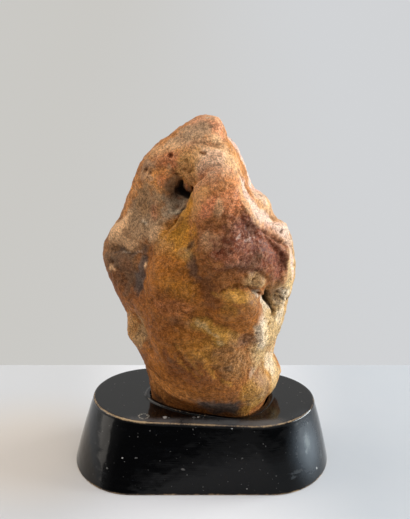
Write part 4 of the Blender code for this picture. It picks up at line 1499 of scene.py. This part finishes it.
def worn_edges(nodes, colour):
    """The colour, with the wood showing where the edges have lost their lacquer."""
    broad = nodes.times(nodes.noise(*WEAR_NOISE), WEAR_UNEVEN)
    fine = nodes.minus(nodes.noise(*FINE_WEAR_NOISE), NOISE_MIDDLE)
    uneven = nodes.plus(nodes.minus(broad, WEAR_UNEVEN * NOISE_MIDDLE), nodes.times(fine, FINE_WEAR_UNEVEN))
    for wear in WEARS:
        worn = nodes.attribute(wear.layer)
        cover = nodes.plus(worn, nodes.times(uneven, nodes.ramp(worn, *UNEVEN_FROM)))
        wood = nodes.mix(nodes.ramp(cover, wear.low, wear.bright), WORN_DARK, WORN_WOOD)
        colour = nodes.mix(nodes.ramp(cover, wear.low, wear.high), colour, wood)
    return colour


def lacquer_material(marks):
    material, shader, nodes = new_material("Black lacquer")
    brushing = nodes.noise(*BRUSHING_NOISE, nodes.place(BRUSHING_STRETCH))
    streaks = nodes.noise(*STREAK_NOISE, nodes.place(STREAK_STRETCH))
    dust = nodes.noise(*DUST_NOISE)
    dusty = nodes.times(nodes.ramp(streaks, *DUSTY_STREAKS), nodes.ramp(dust, *DUSTY_GRAINS))
    smudges = nodes.ramp(nodes.noise(*SMUDGE_NOISE), *DULL_COVER)
    matt = nodes.times(nodes.attribute("dull"), smudges)
    dots = nodes.times(nodes.ramp(nodes.noise(*DOT_NOISE), *DOT_EDGE), DOT_COVER)
    colour = nodes.mix(dusty, LACQUER, LACQUER_DUSTY)
    colour = nodes.mix(matt, colour, LACQUER_DULL)
    colour = nodes.mix(dots, colour, STAINS["chip"].colour)
    colour = worn_edges(nodes, colour)
    uneven = nodes.minus(dust, NOISE_MIDDLE)
    for mark, centre in marks:
        cover = mark_cover(nodes, mark, centre, uneven)
        colour = nodes.mix(cover, colour, STAINS[mark.kind].colour)
        matt = nodes.most(matt, cover)
    nodes.feed(shader["Base Color"], colour)
    gloss = nodes.ramp(streaks, *GLOSS)
    nodes.feed(shader["Roughness"], nodes.plus(gloss, nodes.times(matt, MATT_ROUGHNESS)))
    bump = nodes.add("Bump", {"Height": brushing, **BRUSHING_BUMP})
    nodes.feed(shader["Normal"], bump.outputs["Normal"])
    facing = nodes.absolute(nodes.axis(nodes.add("TexCoord", {}).outputs["Normal"], "Y"))
    nodes.feed(shader["Specular IOR Level"], nodes.ramp(facing, *SHEEN_FACING))
    nodes.feed(shader["IOR"], LACQUER_IOR)
    return material


# ---------------------------------------------------------------- stage

FLOOR_SIZE = 6.0
# The cloth's greyer sides are painted shade, and the blue of its right side is painted daylight
CLOTH_LEFT = (0.635, 0.635, 0.645)
CLOTH_MIDDLE = (0.84, 0.838, 0.865)
CLOTH_RIGHT = (0.56, 0.59, 0.63)
CLOTH_LEFT_EDGE = (-0.11, -0.02)
CLOTH_RIGHT_EDGE = (0.01, 0.12)
# A soft, uneven grey in the cloth
CLOTH_GREY = (0.70, 0.70, 0.70)
CLOTH_GREY_NOISE = (26.0 * MM, 4.0, 0.6)
CLOTH_GREY_SHARE = (0.2, 0.8, 0.0, 0.08)
# Far in front of the stand the cloth is darker
CLOTH_FAR = (0.33, 0.33, 0.34)
CLOTH_FAR_EDGE = (-0.36, -0.15)
CLOTH_ROUGHNESS = 0.9
CLOTH_SHEEN = 0.1
# A warm shadow painted on the cloth beside the stand's left end
PAINTED_WARM_SHADOW = (0.70, 0.64, 0.58)
WARM_SPOT = (-0.125, 0.005, 0.0)
WARM_REACH = (0.02, 0.10)
# Behind its back edge the cloth gives way to an even wall
CLOTH_BACK_EDGE = (0.1342, 0.1350)
WALL_LEFT = (0.592, 0.582, 0.555)
WALL_RIGHT = (0.640, 0.652, 0.668)
WALL_ENDS = (-0.20, 0.20)
ROOM_FRONT = (0.07, 0.07, 0.075)
ROOM_BACK = (0.60, 0.60, 0.60)
ROOM_DEPTH = (-0.75, 0.25)
ROOM_WARM_SIDE = (1.0, 0.93, 0.84)
ROOM_COOL_SIDE = (0.94, 0.98, 1.0)
ROOM_SIDES = (-0.9, 0.9)
ROOM_TINT = 0.5
LIGHTS_AIM = Vector((0.0, 0.0, 0.13))
Light = namedtuple("Light", "name bearing height distance size watts colour")
LIGHTS = (
    Light("window", 96.0, 0.40, 2.60, (2.20, 1.32), 124.0, (0.91, 0.98, 1.0)),
    Light("ceiling", 10.0, 1.80, 0.40, (2.4, 2.4), 24.0, (1.0, 0.99, 0.975)),
    Light("room on the left", -92.0, 0.77, 2.40, (1.80, 1.90), 15.0, (1.0, 0.93, 0.84)),
)


def cloth_colour(nodes):
    """Pale in the middle and greyer to both sides as painted shade, bluish on the right as painted
    daylight, with a warm shadow painted on the left.
    """
    across = nodes.axis(nodes.place(), "X")
    grey = nodes.ramp(nodes.noise(*CLOTH_GREY_NOISE), *CLOTH_GREY_SHARE)
    to_spot = nodes.vector("DISTANCE", nodes.place(), WARM_SPOT, output="Value")
    near = nodes.ramp(nodes.axis(nodes.place(), "Y"), *CLOTH_FAR_EDGE)
    # Painted shade to both sides, and painted daylight's blue on the right
    colour = nodes.mix(nodes.ramp(across, *CLOTH_LEFT_EDGE), CLOTH_LEFT, CLOTH_MIDDLE)
    colour = nodes.mix(nodes.ramp(across, *CLOTH_RIGHT_EDGE), colour, CLOTH_RIGHT)
    colour = nodes.mix(grey, colour, CLOTH_GREY)
    # The warm shadow painted beside the stand
    colour = nodes.mix(nodes.fall(to_spot, *WARM_REACH), colour, PAINTED_WARM_SHADOW)
    return nodes.mix(near, CLOTH_FAR, colour)


def floor_material():
    """A pale cloth, and behind its edge the even grey of a wall in soft light."""
    material, shader, nodes = new_material("Pale floor")
    nodes.feed(shader["Base Color"], cloth_colour(nodes))
    nodes.feed(shader["Roughness"], CLOTH_ROUGHNESS)
    nodes.feed(shader["Specular IOR Level"], CLOTH_SHEEN)
    across = nodes.ramp(nodes.axis(nodes.place(), "X"), *WALL_ENDS)
    behind = nodes.ramp(nodes.axis(nodes.place(), "Y"), *CLOTH_BACK_EDGE)
    wall = nodes.add("Emission", {"Color": nodes.mix(across, WALL_LEFT, WALL_RIGHT)})
    cloth = nodes.tree.nodes["Principled BSDF"]
    both = nodes.add("MixShader", {0: behind, 1: cloth.outputs["BSDF"], 2: wall.outputs["Emission"]})
    nodes.feed(nodes.tree.nodes["Material Output"].inputs["Surface"], both.outputs["Shader"])
    return material


def make_floor():
    shape = bmesh.new()
    bmesh.ops.create_grid(shape, x_segments=2, y_segments=2, size=FLOOR_SIZE / 2.0)
    mesh = bpy.data.meshes.new("floor")
    shape.to_mesh(mesh)
    shape.free()
    mesh.materials.append(floor_material())
    floor = add_piece("floor", mesh)


def make_world():
    """A room that is pale behind the object and dark in front of it."""
    world = bpy.data.worlds.new("Studio")
    bpy.context.scene.world = world
    world.use_nodes = True
    nodes = Nodes(world.node_tree)
    direction = nodes.add("TexCoord", {}).outputs["Generated"]
    depth = nodes.ramp(nodes.axis(direction, "Y"), *ROOM_DEPTH)
    side = nodes.ramp(nodes.axis(direction, "X"), *ROOM_SIDES)
    tint = nodes.mix(side, ROOM_WARM_SIDE, ROOM_COOL_SIDE)
    colour = nodes.mix(ROOM_TINT, nodes.mix(depth, ROOM_FRONT, ROOM_BACK), tint, "MULTIPLY")
    nodes.feed(world.node_tree.nodes["Background"].inputs["Color"], colour)


def add_light(row):
    """A soft rectangular light at a bearing from the front, aimed at the stone."""
    data = bpy.data.lights.new(row.name, "AREA")
    data.shape = "RECTANGLE"
    data.size, data.size_y = row.size
    data.energy = row.watts
    data.color = row.colour
    light = bpy.data.objects.new(row.name, data)
    turn = math.radians(row.bearing)
    light.location = (math.sin(turn) * row.distance, -math.cos(turn) * row.distance, row.height)
    light.rotation_euler = (LIGHTS_AIM - light.location).to_track_quat("-Z", "Y").to_euler()
    bpy.context.scene.collection.objects.link(light)


def make_camera():
    data = bpy.data.cameras.new("camera")
    data.sensor_fit = "AUTO"
    data.sensor_width = SENSOR_SIZE
    data.lens = FOCAL_LENGTH_PX / PICTURE_HEIGHT * SENSOR_SIZE
    camera = bpy.data.objects.new("camera", data)
    camera.location = EYE
    camera.rotation_euler = (math.pi / 2.0 - VIEW_PITCH, 0.0, 0.0)
    bpy.context.scene.collection.objects.link(camera)
    bpy.context.scene.camera = camera


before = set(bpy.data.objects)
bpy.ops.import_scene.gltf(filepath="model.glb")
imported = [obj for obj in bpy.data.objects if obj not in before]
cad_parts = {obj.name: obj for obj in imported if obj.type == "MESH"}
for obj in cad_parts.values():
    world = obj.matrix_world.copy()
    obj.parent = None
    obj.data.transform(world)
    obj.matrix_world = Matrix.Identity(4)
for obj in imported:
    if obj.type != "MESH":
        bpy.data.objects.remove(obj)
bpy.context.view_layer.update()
bpy.context.scene.view_settings.view_transform = "Standard"
make_camera()
make_world()
for light_row in LIGHTS:
    add_light(light_row)
make_floor()
make_stone()
make_stand()
